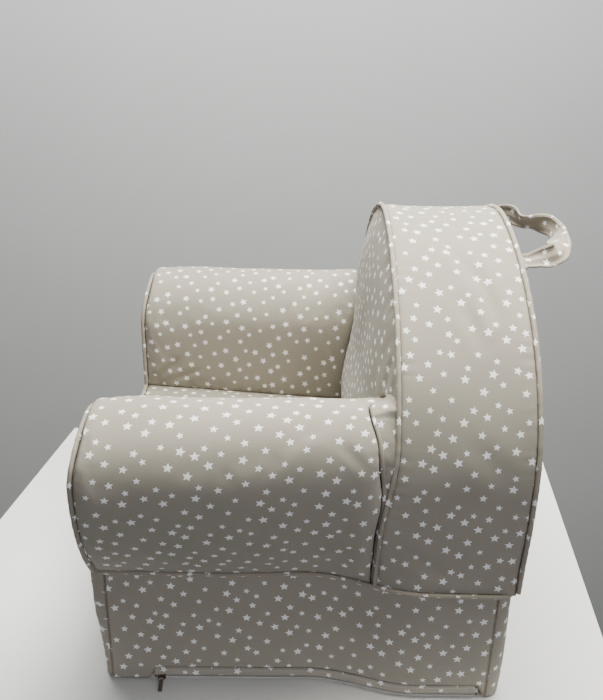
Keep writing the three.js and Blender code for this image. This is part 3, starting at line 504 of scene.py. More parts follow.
def arm_grid(runs, shares, lead):
    """Points of the left arm's cover, rows from front to rear, rounded in at the rear seam."""
    t = np.broadcast_to(shares, (len(runs), len(shares)))
    run = np.broadcast_to(runs[:, None], t.shape)
    x, z = arm_point(lerp(FRONT + 1.0, 70.0, run), t)
    for _ in range(3):
        end = arm_end(x, z, lead)
        y = lerp(FRONT + 1.0 + front_lean(z), end, run)
        x, z = arm_point(y, t)
    turn = np.clip((y - (end - ARM_REAR_ROUND)) / ARM_REAR_ROUND, 0, 1)
    roll = 1 - np.sqrt(1 - turn ** 2)
    edge = side_half_width(y, z) - 1.0
    beyond = np.maximum(x - edge, 0)
    # A seam that runs well ahead of the piping keeps some of the arm's width at the shoulder.
    keep = 0.55 * smooth(z, 270, 318) * min(lead / 10, 1)
    x = x - beyond * (1 - keep) * roll
    crown = smooth(z, ARM_BULGE_HEIGHT, ARM_TOP)
    droop = ARM_DROOP * (1 - smooth(y, FRONT, FRONT + ARM_DROOP_LENGTH))
    z = z - droop * crown - 3.0 * roll * crown
    return np.stack([x, y, z], axis=-1), t


def arm_panel(name, side, lead, nodes):
    runs = np.concatenate([np.arange(0, 27, 3.0), stations(30, 296)[1:]]) / 296
    shares = stations(0, ARM_GIRTH) / ARM_GIRTH
    grid, t = arm_grid(runs, shares, lead)
    points = grid.reshape(-1, 3) * (side, 1, 1)
    uv = np.column_stack([points[:, 1], (t * ARM_GIRTH).ravel()])
    return Panel(name, points, grid_faces(*t.shape), uv,
                 (side * ARM_TOP_X, -60, ARM_BULGE_HEIGHT - 50), nodes, tuck=1.1, sink=2.6)


def arm_rear_edge(start, count, lead):
    """Points down the left arm's rear seam, from the base to beyond the arm's top."""
    shares = np.linspace(start, LAP_END, count)
    return arm_grid(np.array([0.9, 1.0]), shares, lead)[0][1]


def back_lap_panel(name, side, lead):
    """The inner back's edge where it laps forward over an arm's shoulder to the arm's seam."""
    near = arm_rear_edge(0.004, 90, lead)
    x, z = near[:, 0], near[:, 2]
    outline_x = side_half_width(front_piping_depth(z), z) - 0.6
    inside = x < outline_x
    up = np.column_stack([np.gradient(z), -np.gradient(x)])
    up /= np.linalg.norm(up, axis=1)[:, None]
    far_x = np.where(inside, np.minimum(x + up[:, 0] * LAP_REACH, outline_x), outline_x)
    far_z = np.where(inside, z + np.maximum(up[:, 1], 0) * LAP_REACH, z)
    far_y = np.where(inside, inner_back_depth(far_x, far_z) + 1.2,
                     front_piping_depth(far_z) - 0.4)
    far = np.column_stack([far_x, far_y, far_z])
    share = np.linspace(0, 1, LAP_ROWS)[:, None, None]
    rows = lerp(near[None], far[None], share)
    bulge = 0.6 * np.sin(math.pi * share[..., 0])
    rows[..., 0] += bulge * up[:, 0]
    rows[..., 2] += bulge * up[:, 1]
    points = rows.reshape(-1, 3)
    along = lengths(near)
    uv = np.column_stack([points[:, 1] + 400, np.tile(along, LAP_ROWS) + 60])
    return Panel(name, points * (side, 1, 1), grid_faces(LAP_ROWS, len(near)), uv,
                 (side * 190, 40, 280), [], puff=0.8, tuck=0.5)


def seat_panel():
    x, run = np.meshgrid(stations(-SEAT_HALF_WIDTH, SEAT_HALF_WIDTH), stations(0, 280) / 280)
    y = lerp(FRONT + 1.0, inner_back_depth(x, SEAT_HEIGHT - SEAT_FALL) + 1.0, run)
    points = np.column_stack([x.ravel(), y.ravel(), seat_height(x, y).ravel()])
    return Panel("cover_seat", points, grid_faces(*x.shape), points[:, :2],
                 (0, -80, 0), ["seat_panel", "foam_seat"], puff=3.5, tuck=0.7, sink=1.0)


def upright_panel(name, outline, depth, inward, nodes, **fit):
    """A panel cut flat in x and z, laid on the surface y = depth(x, z)."""
    flat, faces = filled_outline(outline)
    y = np.broadcast_to(depth(flat[:, 0], flat[:, 1]), (len(flat),))
    points = np.column_stack([flat[:, 0], y, flat[:, 1]])
    return Panel(name, points, faces, flat, inward, nodes, **fit)


def inner_back_outline():
    """Over the arch, down the far edges to the arms, along the arms and across the seat."""
    t = np.linspace(ARM_LOWER_SHARE, 1, 200)
    x, z = arm_point(np.full_like(t, 75.0), t)
    for _ in range(3):
        x, z = arm_point(inner_back_depth(x, z), t)
    outside = x < back_half_width(z) - 0.5
    first = int(np.argmax(outside))
    arm = np.column_stack([x[first:], z[first:]])
    arch = back_outline(0, 141.0)
    arch = arch[(arch[:, 0] > 0) & (arch[:, 1] > arm[0, 1] + 2)]
    half = np.vstack([[(0.0, ARCH_START + ARCH_HEIGHT)], arch[::-1], arm])
    return respaced(mirrored_path(half), PANEL_STEP)[:-1]


def front_outline():
    t = np.linspace(0, 1, 240)
    x, z = arm_point(np.full_like(t, FRONT), t)
    half = np.vstack([[(0.0, FLOOR_EDGE)], [(BASE_FRONT_HALF_WIDTH, FLOOR_EDGE)],
                      np.column_stack([x, z]), [(0.0, SEAT_HEIGHT)]])
    return respaced(mirrored_path(half), PANEL_STEP)[:-1]


def front_depth(x, z):
    """The front panel: full above the floor, and turned round the base's corners."""
    base = 1 - smooth(z, 150, 172)
    corner = np.clip((np.abs(x) - BASE_FRONT_HALF_WIDTH + FRONT_WRAP) / FRONT_WRAP, 0, 1)
    wrap = FRONT_WRAP * (1 - np.sqrt(1 - corner ** 2))
    fullness = 8.0 * smooth(z, 0, 125) * (1 - corner ** 2)
    return FRONT + (wrap - fullness) * base + front_lean(z)


def outer_back_outline():
    arch = back_outline(0, seam_height(REAR))
    return respaced(np.vstack([arch, arch[:1]]), PANEL_STEP)[:-1]


def boxing_panel():
    run = stations(0, BACK_THICKNESS) / BACK_THICKNESS
    rows = []
    for share in run:
        foot = seam_height(lerp(REAR - BACK_THICKNESS - BACK_FOOT_STEP, REAR, share))
        outline = back_outline(0, foot, 160)
        along = lengths(outline)
        at = np.concatenate([[0], np.linspace(EDGE_STEP, along[-1] - EDGE_STEP, 170),
                             [along[-1]]])
        x, z = (np.interp(at, along, outline[:, k]) for k in (0, 1))
        y = lerp(front_piping_depth(z), rear_piping_depth(z), share)
        x = x - np.sign(x) * (back_half_width(z) - side_half_width(y, z))
        rows.append(np.column_stack([x, y, z, y, at]))
    grid = np.array(rows)
    flat = grid.reshape(-1, 5)
    return Panel("cover_boxing", flat[:, :3], grid_faces(*grid.shape[:2]), flat[:, 3:],
                 (0, REAR - BACK_THICKNESS / 2, ARCH_START), ["back_boxing", "foam_back"],
                 sink=2.4)


def base_side_panel(name, side, nodes, has_zip):
    y, up = np.meshgrid(stations(FRONT + FRONT_WRAP, REAR - BASE_CORNER), stations(0, 145) / 145,
                        indexing="ij")
    low = FLOOR_EDGE
    if has_zip:
        gate = smooth(y, ZIP_FRONT - 5, ZIP_FRONT) * (1 - smooth(y, ZIP_REAR, ZIP_REAR + 5))
        low = lerp(FLOOR_EDGE, FLAP_TOP + 0.5, gate)
    z = lerp(low, seam_height(y), up)
    points = np.column_stack([(side * base_half_width(y)).ravel(), y.ravel(), z.ravel()])
    uv = np.column_stack([y.ravel() + 37, z.ravel() + 11])
    return Panel(name, points, grid_faces(*y.shape), uv, (0, 0, 80), nodes,
                 puff=3.0, tuck=0.9, sink=2.0)


def base_rear_panel():
    half = half_footprint(0)
    outline = mirrored_path(half[half[:, 1] >= REAR - BASE_CORNER])
    run = lengths(outline)
    at, up = np.meshgrid(stations(0, run[-1]), stations(0, 136) / 136, indexing="ij")
    x, y = (np.interp(at, run, outline[:, k]) for k in (0, 1))
    z = lerp(FLOOR_EDGE, seam_height(y), up)
    points = np.column_stack([x.ravel(), y.ravel(), z.ravel()])
    uv = np.column_stack([at.ravel(), z.ravel()])
    return Panel("cover_base_rear", points, grid_faces(*at.shape), uv, (0, 0, 80),
                 ["base_rear"], puff=3.0, tuck=0.9, sink=1.0)


# ---- Covered cord in the seams ----

def tube(name, path, radius, material, around=12, spacing=3.0, seed=1, wobble=0.06):
    """A covered cord along a run of points, its ends closed, with a UV map in metres."""
    path = respaced(np.asarray(path, float), spacing)
    for _ in range(2):
        path[1:-1] = (path[:-2] + 2 * path[1:-1] + path[2:]) / 4
    run = lengths(path)
    tangent = np.gradient(path, axis=0)
    tangent /= np.linalg.norm(tangent, axis=1)[:, None]
    side = np.zeros_like(path)
    side[0] = np.cross(tangent[0], (0.31, 0.2, 0.93))
    for i in range(len(path)):
        last = side[max(i - 1, 0)]
        side[i] = last - tangent[i] * np.dot(last, tangent[i])
        side[i] /= np.linalg.norm(side[i])
    other = np.cross(tangent, side)
    rng = np.random.default_rng(seed)
    thick = radius * (1 + wobble * np.clip(ripple(run, rng, 30, 9), -1, 1))
    angle = np.linspace(0, 2 * math.pi, around, endpoint=False)
    ring = (side[:, None] * np.cos(angle)[None, :, None]
            + other[:, None] * np.sin(angle)[None, :, None])
    points = (path[:, None] + ring * thick[:, None, None]).reshape(-1, 3)
    count = len(path)
    faces = [[i * around + k, i * around + (k + 1) % around,
              (i + 1) * around + (k + 1) % around, (i + 1) * around + k]
             for i in range(count - 1) for k in range(around)]
    faces.append(list(range(around))[::-1])
    faces.append([(count - 1) * around + k for k in range(around)])
    uv = np.column_stack([np.repeat(run, around),
                          np.tile(angle * radius, count)])
    return recalculated(mesh_object(name, points, faces, uv, material))


def front_piping_path():
    t = np.linspace(0.012, 1, 160)
    x, z = arm_point(np.full_like(t, FRONT), t)
    section = np.column_stack([x, FRONT - CORNER_LIFT + front_lean(z), z])
    along = np.gradient(section, axis=0)
    along /= np.linalg.norm(along, axis=1)[:, None]
    section += CORNER_LIFT * np.column_stack([along[:, 2], 0 * x, -along[:, 0]])
    seat = [(SEAT_HALF_WIDTH * s, FRONT - CORNER_LIFT, SEAT_HEIGHT + CORNER_LIFT)
            for s in (0.96, 0.88, 0.5, 0.1)]
    return mirrored_path(np.vstack([section, seat]))


def back_piping_path(depth, side):
    outline = back_outline(-CORNER_LIFT, seam_height(REAR - BACK_THICKNESS / 2) + 4.5)
    x, z = outline[:, 0], outline[:, 1]
    y = depth(z) + side * CORNER_LIFT
    x = x - np.sign(x) * (back_half_width(z) - side_half_width(y, z))
    return np.column_stack([x, y, z])


def base_piping_path():
    half = half_footprint(-PIPING_LIFT)
    outline = mirrored_path(half[half[:, 1] > FRONT + 1.5])
    return np.column_stack([outline, seam_height(outline[:, 1])])


# ---- Materials ----

def hex_colour(code):
    """A linear colour from an sRGB hex code."""
    parts = [int(code[k:k + 2], 16) / 255 for k in (1, 3, 5)]
    return tuple(c / 12.92 if c < 0.04045 else ((c + 0.055) / 1.055) ** 2.4
                 for c in parts) + (1.0,)


def node(tree, kind, inputs=None, **settings):
    """Adds a node with its settings; each input is a value or another node's output."""
    made = tree.nodes.new(kind)
    for key, value in settings.items():
        setattr(made, key, value)
    for place, value in (inputs or {}).items():
        if isinstance(value, bpy.types.NodeSocket):
            tree.links.new(value, made.inputs[place])
        else:
            made.inputs[place].default_value = value
    return made


def maths(tree, operation, *values, clamp=False):
    return node(tree, "ShaderNodeMath", dict(enumerate(values)), operation=operation,
                use_clamp=clamp).outputs[0]


def mixed(tree, factor, a, b, blend="MIX"):
    return node(tree, "ShaderNodeMix", {0: factor, 6: a, 7: b}, data_type="RGBA",
                blend_type=blend).outputs[2]


def toned(tree, code, tone):
    """A hex colour, lightened and darkened by a tone."""
    grey = node(tree, "ShaderNodeCombineColor", {0: tone, 1: tone, 2: tone}).outputs[0]
    return mixed(tree, 1.0, hex_colour(code), grey, "MULTIPLY")


def set_inputs(shader, values):
    for socket, value in values.items():
        shader.inputs[socket].default_value = value


def new_material(name):
    material = bpy.data.materials.new(name)
    material.use_nodes = True
    tree = material.node_tree
    tree.nodes.clear()
    shader = node(tree, "ShaderNodeBsdfPrincipled")
    output = node(tree, "ShaderNodeOutputMaterial", {0: shader.outputs[0]})
    output.is_active_output = True
    return material, tree, shader


STAR_PITCH = 0.0183      # from star to star
STAR_RADIUS = 0.0050     # middle to tip of the largest stars
STAR_NOTCH = 0.47        # notch's distance from the middle over the tip's


def star_print_group():
    """Scattered five-pointed stars in three sizes: 1 on a star, 0 on the ground."""
    group = bpy.data.node_groups.new("star print", "ShaderNodeTree")
    group.interface.new_socket("Cloth", in_out="INPUT", socket_type="NodeSocketVector")
    group.interface.new_socket("Star", in_out="OUTPUT", socket_type="NodeSocketFloat")
    cloth = node(group, "NodeGroupInput").outputs[0]
    turned = node(group, "ShaderNodeMapping", {
        "Vector": cloth, "Rotation": (0, 0, math.radians(27)),
        "Scale": (1 / STAR_PITCH, 1 / STAR_PITCH, 1)}).outputs[0]
    cells = node(group, "ShaderNodeTexVoronoi", {"Vector": turned, "Scale": 1.0,
                                                 "Randomness": 0.48},
                 voronoi_dimensions="2D", feature="F1")
    local = node(group, "ShaderNodeVectorMath",
                 {0: turned, 1: cells.outputs["Position"]}, operation="SUBTRACT").outputs[0]
    draw = node(group, "ShaderNodeSeparateColor", {0: cells.outputs["Color"]})
    spin = maths(group, "MULTIPLY_ADD", draw.outputs[0], 0.7, -0.35 - math.radians(27))
    upright = node(group, "ShaderNodeVectorRotate", {"Vector": local, "Angle": spin},
                   rotation_type="Z_AXIS").outputs[0]
    xy = node(group, "ShaderNodeSeparateXYZ", {0: upright})
    theta = maths(group, "ARCTAN2", xy.outputs[0], xy.outputs[1])
    arm = 2 * math.pi / 5
    wrapped = maths(group, "FRACT", maths(group, "MULTIPLY_ADD", theta, 1 / arm, 0.5))
    fold = maths(group, "MULTIPLY",
                 maths(group, "ABSOLUTE", maths(group, "SUBTRACT", wrapped, 0.5)), arm)
    notch = STAR_NOTCH * math.sin(arm / 2)
    lean = 1 - STAR_NOTCH * math.cos(arm / 2)
    edge = maths(group, "MULTIPLY_ADD", maths(group, "COSINE", fold), notch,
                 maths(group, "MULTIPLY", maths(group, "SINE", fold), lean))
    far = node(group, "ShaderNodeVectorMath", {0: upright}, operation="LENGTH").outputs[1]
    step = maths(group, "FLOOR", maths(group, "MULTIPLY", draw.outputs[1], 2.999))
    size = maths(group, "MULTIPLY_ADD", step, 0.14, 0.72)
    reach = maths(group, "DIVIDE", maths(group, "MULTIPLY", far, edge),
                  maths(group, "MULTIPLY", size, notch * STAR_RADIUS / STAR_PITCH))
    star = node(group, "ShaderNodeMapRange", {"Value": reach, "From Min": 1.07,
                                              "From Max": 0.93},
                interpolation_type="SMOOTHSTEP").outputs[0]
    node(group, "NodeGroupOutput", {0: star})
    return group


STAR_PRINT = star_print_group()


def printed_cotton(name, ground, star, shade, bias=0.0, on_panel=True):
    """Cotton percale, plain woven and pigment printed: matt, very smooth, with faint slubs.
    The real threads are 0.3 mm apart, too fine to show, so the slubs are drawn 1 to 3 mm long."""
    material, tree, shader = new_material(name)
    cloth = node(tree, "ShaderNodeUVMap", uv_map="cloth").outputs[0]
    stars = node(tree, "ShaderNodeGroup", {"Cloth": cloth}, node_tree=STAR_PRINT).outputs[0]
    threads = []
    for stretch in ((330, 1300, 1), (1300, 330, 1)):
        along = node(tree, "ShaderNodeMapping", {"Vector": cloth, "Scale": stretch,
                                                 "Rotation": (0, 0, bias)})
        threads.append(node(tree, "ShaderNodeTexNoise", {
            "Vector": along.outputs[0], "Scale": 1.0, "Detail": 2.0},
            noise_dimensions="2D").outputs[0])
    slub = maths(tree, "ADD", *threads)
    wide = node(tree, "ShaderNodeTexNoise", {"Vector": cloth, "Scale": 21.0, "Detail": 3.0},
                noise_dimensions="2D").outputs[0]
    tone = maths(tree, "MULTIPLY_ADD", slub, 0.10,
                 maths(tree, "MULTIPLY_ADD", wide, 0.10, 0.85))
    dyed = toned(tree, ground, tone)
    final = mixed(tree, stars, dyed, hex_colour(star))
    # Painted shade: on panels the colour fades to the shade colour within 2.6 mm of a seam,
    # darkening the seam ditches where shade falls.
    if on_panel:
        gap = node(tree, "ShaderNodeAttribute", attribute_name="seam_gap").outputs["Fac"]
        clear = node(tree, "ShaderNodeMapRange", {"Value": gap, "From Min": 0.3,
                                                  "From Max": 2.6}).outputs[0]
        final = mixed(tree, clear, hex_colour(shade), final)
    tree.links.new(final, shader.inputs["Base Color"])
    bump = node(tree, "ShaderNodeBump", {"Height": slub, "Strength": 0.12,
                                         "Distance": 0.0004})
    tree.links.new(bump.outputs[0], shader.inputs["Normal"])
    set_inputs(shader, {"Roughness": 0.88, "IOR": 1.5, "Sheen Weight": 0.12,
                        "Sheen Roughness": 0.5, "Specular IOR Level": 0.25})
    return material


# The third colour is painted shade for the seam ditches; only the panels' cloth uses it.
cover_cotton = printed_cotton("star-print cotton percale, woven and pigment printed",
                              "#9C968A", "#FFFFFF", "#756C60")
piping_cotton = printed_cotton("bias-cut star-print cotton over piping cord, sewn",
                               "#9D9588", "#FFFFFF", "#5C534A", math.radians(45), False)
handle_cotton = printed_cotton("star-print cotton strap, folded and hemmed",
                               "#988F82", "#FFFFFF", "#756C60", 0.0, False)
flap_cotton = printed_cotton("star-print cotton flap, folded double and topstitched",
                             "#A8A296", "#FFFFFF", "#756C60", 0.0, False)


def woven(name, colour, rib, roughness=0.85):
    """Plain woven tape or lining: matt, with fine ribs across it. Real ribs are about 0.5 mm
    apart, and are drawn coarser so that they show."""
    material, tree, shader = new_material(name)
    cloth = node(tree, "ShaderNodeUVMap", uv_map="cloth").outputs[0]
    weave = node(tree, "ShaderNodeTexWave", {"Vector": cloth, "Scale": 1 / rib,
                                             "Distortion": 0.6, "Detail": 1.0})
    speck = node(tree, "ShaderNodeTexNoise", {"Vector": cloth, "Scale": 260.0})
    tone = maths(tree, "MULTIPLY_ADD", speck.outputs[0], 0.18, 0.82)
    tree.links.new(toned(tree, colour, tone), shader.inputs["Base Color"])
    bump = node(tree, "ShaderNodeBump", {"Height": weave.outputs[1], "Strength": 0.35,
                                         "Distance": 0.0002})
    tree.links.new(bump.outputs[0], shader.inputs["Normal"])
    set_inputs(shader, {"Roughness": roughness, "IOR": 1.5, "Specular IOR Level": 0.3})
    return material


def solid(name, colour, roughness, metallic=0.0, mottle=0.12, scale=900.0):
    """A moulded, cast or spun material: an even colour with slight patches in its gloss."""
    material, tree, shader = new_material(name)
    place = node(tree, "ShaderNodeTexCoord").outputs["Object"]
    cloud = node(tree, "ShaderNodeTexNoise", {"Vector": place, "Scale": scale,
                                              "Detail": 3.0}).outputs[0]
    tone = maths(tree, "MULTIPLY_ADD", cloud, 2 * mottle, 1 - 1.5 * mottle)
    tree.links.new(toned(tree, colour, tone), shader.inputs["Base Color"])
    tree.links.new(maths(tree, "MULTIPLY_ADD", cloud, 0.2, roughness - 0.1),
                   shader.inputs["Roughness"])
    shader.inputs["Metallic"].default_value = metallic
    return material


# The tape looks off-white and ribbed, the lining duller and creamy.
zip_tape = woven("polyester zip tape, woven", "#D9D6CF", 0.0012)
lining_cotton = woven("cotton calico, plain woven, unbleached", "#CFC8B9", 0.0016, 0.9)
# The coil has a soft gloss, the metal is dark and half dulled, and the thread is matt.
coil_nylon = solid("nylon zip coil, extruded", "#E9E6DF", 0.38)
cast_zinc = solid("cast zinc, dark antique finish", "#8C8279", 0.5, 1.0)
sewing_thread = solid("polyester sewing thread, spun", "#CFC9BD", 0.7, 0.0, 0.2, 2500.0)


# ---- The cover ----

panels = [
    arm_panel("cover_left_arm", 1, LEFT_LEAD, ["left_arm_wrap", "foam_left_arm"]),
    arm_panel("cover_right_arm", -1, RIGHT_LEAD, ["right_arm_wrap", "foam_right_arm"]),
    back_lap_panel("cover_back_lap_left", 1, LEFT_LEAD),
    back_lap_panel("cover_back_lap_right", -1, RIGHT_LEAD),
    seat_panel(),
    upright_panel("cover_inner_back", inner_back_outline(), inner_back_depth,
                  (0, REAR, ARCH_START), ["inner_back_panel"], puff=4.0, tuck=1.0,
                  sink=2.0),
    boxing_panel(),
    upright_panel("cover_outer_back", outer_back_outline(),
                  lambda x, z: rear_piping_depth(z), (0, 0, ARCH_START),
                  ["outer_back_panel"], puff=5.0, sink=1.5),
    upright_panel("cover_front", front_outline(), front_depth, (0, 0, 120),
                  ["front_panel"], puff=4.0, tuck=0.9),
    base_side_panel("cover_left_side", 1, ["left_base_side", "foam_base"], True),
    base_side_panel("cover_right_side", -1, ["right_base_side"], False),
    base_rear_panel(),
]
blow_out(panels)
# Creases: both ends in millimetres, depth, half width.
FOLDS = {
    "cover_left_arm": [
        ((226, -105, 183), (222, -28, 168), 1.7, 4.5),
        ((262, -205, 250), (235, -160, 190), 0.9, 8.0),
        ((232, -212, 205), (222, -175, 172), 1.1, 5.0),
        ((262, 20, 262), (240, 62, 205), 1.1, 8.0),
        ((250, 30, 330), (262, 60, 300), 1.2, 5.0)],
    "cover_right_arm": [
        ((143, -214, 196), (146, -165, 246), 2.4, 4.5),
        ((143, -205, 194), (145, -140, 222), 1.9, 4.0),
        ((146, 20, 290), (143, 58, 215), 1.5, 5.0),
        ((148, 50, 315), (143, 68, 240), 2.2, 5.0)],
    "cover_boxing": [
        ((70, 140, 476), (128, 168, 450), 1.9, 8.0),
        ((118, 172, 458), (164, 180, 424), 3.0, 6.5),
        ((150, 150, 440), (185, 165, 402), 1.8, 7.0),
        ((236, 95, 200), (234, 150, 165), 1.2, 8.0),
        ((238, 150, 330), (236, 195, 280), 0.9, 11.0)],
    "cover_left_side": [
        ((209, -210, 147), (209, -178, 122), 1.2, 4.0),
        ((209, -206, 128), (209, -188, 92), 0.9, 5.0),
        ((212, 20, 140), (228, 110, 95), 1.0, 9.0),
        ((232, 120, 60), (233, 185, 30), 0.9, 8.0)],
    "cover_seat": [((60, -200, 192), (100, -120, 190), 0.8, 9.0)],
}
for number, panel in enumerate(panels):
    finish_panel(panel, cover_cotton, 40 + number, FOLDS.get(panel.obj.name, ()))

for name, path, cad_node, seed in (
        ("piping_front", front_piping_path(), "front_piping", 1),
        ("piping_back_front", back_piping_path(front_piping_depth, -1), "back_front_piping", 2),
        ("piping_back_rear", back_piping_path(rear_piping_depth, 1), "back_rear_piping", 3),
        ("piping_base", base_piping_path(), "base_piping", 4)):
    cord = tube(name, path, PIPING_RADIUS, piping_cotton, seed=seed)
    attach(cord, "chair")
    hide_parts(cad_node)


def seat_seam_path(side):
    y = stations(FRONT + 2, float(inner_back_depth(SEAT_HALF_WIDTH, SEAT_HEIGHT)) - 2, 8.0)
    return np.column_stack([np.full_like(y, side * (SEAT_HALF_WIDTH - 0.5)), y,
                            seat_height(np.full_like(y, SEAT_HALF_WIDTH), y) - 1.6])


def arm_seam_path(side, lead):
    """Just inside an arm's rear seam, where the turned-in edges of the two pieces lie."""
    return (arm_rear_edge(0.01, 80, lead) + SEAM_TURN_IN) * (side, 1, 1)


# The turned-in edges of the cloth, which close each seam from inside.
for name, path in (
        ("seat_seam_allowance_left", seat_seam_path(1)),
        ("seat_seam_allowance_right", seat_seam_path(-1)),
        ("arm_seam_allowance_left", arm_seam_path(1, LEFT_LEAD)),
        ("arm_seam_allowance_right", arm_seam_path(-1, RIGHT_LEAD))):
    allowance = tube(name, path, ALLOWANCE_RADIUS, piping_cotton, spacing=6.0, seed=7)
    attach(allowance, "chair")


# ---- Carrying handle ----

STRAP_WIDTH, STRAP_THICKNESS, STRAP_HEM = 25.0, 2.0, 4.0
HALF_SPAN, ROOT_DEPTH, ROOT_HEIGHT, REACH = 102.0, 220.4, 462.7, 62.6
# The strap's course: share of the half span, share of the reach, height above the roots,
# then the direction across its width. It starts and ends tucked into the rear seam.
STRAP_COURSE = np.array([
    (1.01, -0.07, -1.0, -0.87, 0, 0.48), (1, 0, 0, -0.9, 0, 0.42), (1, 0.1, 0, -0.9, 0, 0.4),
    (0.985, 0.22, 2, -0.82, 0, 0.57), (0.95, 0.41, 5, -0.45, 0, 0.9),
    (0.88, 0.61, 8, -0.1, -0.75, 0.6), (0.74, 0.68, 10, 0, -1, 0.1),
    (0.34, 0.84, 8, 0, -0.8, -0.5), (-0.05, 1, 4, 0, -0.25, -0.95),
    (-0.22, 0.97, 6, 0.1, 0, -1), (-0.51, 0.62, 3, -0.7, 0.2, -0.6),
    (-0.8, 0.47, 4, -0.1, 0, -1), (-1, 0.1, 0, -0.9, 0, -0.4), (-1, 0, 0, -0.9, 0, -0.42),
    (-1.01, -0.07, -1.0, -0.87, 0, -0.48)])


def through(knots, shares):
    """Points on a smooth curve through the knots, at shares of its length."""
    at = lengths(knots[:, :3])
    at = at / at[-1]
    slope = np.gradient(knots, at, axis=0)
    i = np.clip(np.searchsorted(at, shares, side="right") - 1, 0, len(at) - 2)
    width = (at[i + 1] - at[i])[:, None]
    s = (shares - at[i])[:, None] / width
    return ((1 + 2 * s) * (1 - s) ** 2 * knots[i] + s * (1 - s) ** 2 * width * slope[i]
            + s ** 2 * (3 - 2 * s) * knots[i + 1] + s ** 2 * (s - 1) * width * slope[i + 1])


def strap_surface(across, offset, count=110):
    """Points of the limp strap; across and offset are millimetres from its middle line."""
    knots = STRAP_COURSE * (HALF_SPAN, REACH, 1, 1, 1, 1)
    shares = np.linspace(0, 1, count)
    course = through(knots + (0, ROOT_DEPTH, ROOT_HEIGHT, 0, 0, 0), shares)
    middle, width = course[:, :3], course[:, 3:]
    tangent = np.gradient(middle, axis=0)
    tangent /= np.linalg.norm(tangent, axis=1)[:, None]
    width = width - tangent * np.sum(width * tangent, axis=1)[:, None]
    width /= np.linalg.norm(width, axis=1)[:, None]
    face = np.cross(tangent, width)
    run = lengths(middle)
    from_root = np.minimum(run, run[-1] - run)
    near_root = np.exp(-(from_root / 34) ** 2)
    # Gathered into the seam at each end, with creases along it that fade towards its middle.
    gather = 1 - 0.16 * near_root
    wave = ((0.5 + 1.1 * near_root)[:, None]
            * np.sin(across[None] * 0.52 + 1.1 + run[:, None] * 0.028)
            + 0.7 * np.sin(run * 0.11 + 0.8)[:, None])
    wave *= smooth(from_root, 1, 9)[:, None]
    points = (middle[:, None] + width[:, None] * (across * gather[:, None])[..., None]
              + face[:, None] * (offset + wave)[..., None])
    return points, run


def carry_handle():
    half = STRAP_WIDTH / 2
    top = np.array([-half, -half + 0.5, -half + 2, -half + STRAP_HEM - 0.4, -half + STRAP_HEM,
                    -5.5, -2.5, 0, 2.5, 5.5, half - STRAP_HEM, half - STRAP_HEM + 0.4,
                    half - 2, half - 0.5, half])
    hem = np.abs(top) > half - STRAP_HEM + 0.2
    height = STRAP_THICKNESS / 2 + 0.45 * hem
    height[[0, -1]] = 0.35
    height[[1, -2]] = 1.1
    across = np.concatenate([top, top[::-1]])
    offset = np.concatenate([height, -height[::-1]])
    points, run = strap_surface(across, offset)
    around = len(across)
    count = len(run)
    index = np.arange(count * around).reshape(count, around)
    turned = np.roll(index, -1, axis=1)
    faces = np.stack([index[:-1], turned[:-1], turned[1:], index[1:]], -1).reshape(-1, 4)
    faces = faces.tolist() + [index[0][::-1].tolist(), index[-1].tolist()]
    flat = np.concatenate([top, 40 + top])
    uv = np.column_stack([np.repeat(run, around), np.tile(flat, count)])
    return recalculated(mesh_object("handle_strap", points.reshape(-1, 3), faces, uv,
                                    handle_cotton))


def swinging(obj):
    """Bakes the object's placement into its mesh."""
    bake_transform(obj)


def pieces_tree():
    """Small rounded pieces at even steps along a path: zip teeth, or stitches of thread."""
    tree = bpy.data.node_groups.new("pieces along a path", "GeometryNodeTree")
    for label, kind in (("Path", "Geometry"), ("Spacing", "Float"), ("Half size", "Vector"),
                        ("Material", "Material")):
        tree.interface.new_socket(label, in_out="INPUT", socket_type="NodeSocket" + kind)
    tree.interface.new_socket("Pieces", in_out="OUTPUT", socket_type="NodeSocketGeometry")
    given = node(tree, "NodeGroupInput").outputs
    curve = node(tree, "GeometryNodeMeshToCurve", {"Mesh": given["Path"]}).outputs[0]
    spots = node(tree, "GeometryNodeCurveToPoints",
                 {"Curve": curve, "Length": given["Spacing"]}, mode="LENGTH")
    turn = node(tree, "FunctionNodeAlignRotationToVector",
                {"Vector": spots.outputs["Tangent"]}, axis="Y").outputs[0]
    bead = node(tree, "GeometryNodeMeshUVSphere", {"Segments": 8, "Rings": 5,
                                                   "Radius": 1.0}).outputs[0]
    placed = node(tree, "GeometryNodeInstanceOnPoints", {
        "Points": spots.outputs["Points"], "Instance": bead, "Rotation": turn,
        "Scale": given["Half size"]}).outputs[0]
    real = node(tree, "GeometryNodeRealizeInstances", {0: placed}).outputs[0]
    coated = node(tree, "GeometryNodeSetMaterial", {"Geometry": real,
                                                    "Material": given["Material"]})
    node(tree, "NodeGroupOutput", {0: coated.outputs[0]})
    return tree


PIECES_TREE = pieces_tree()


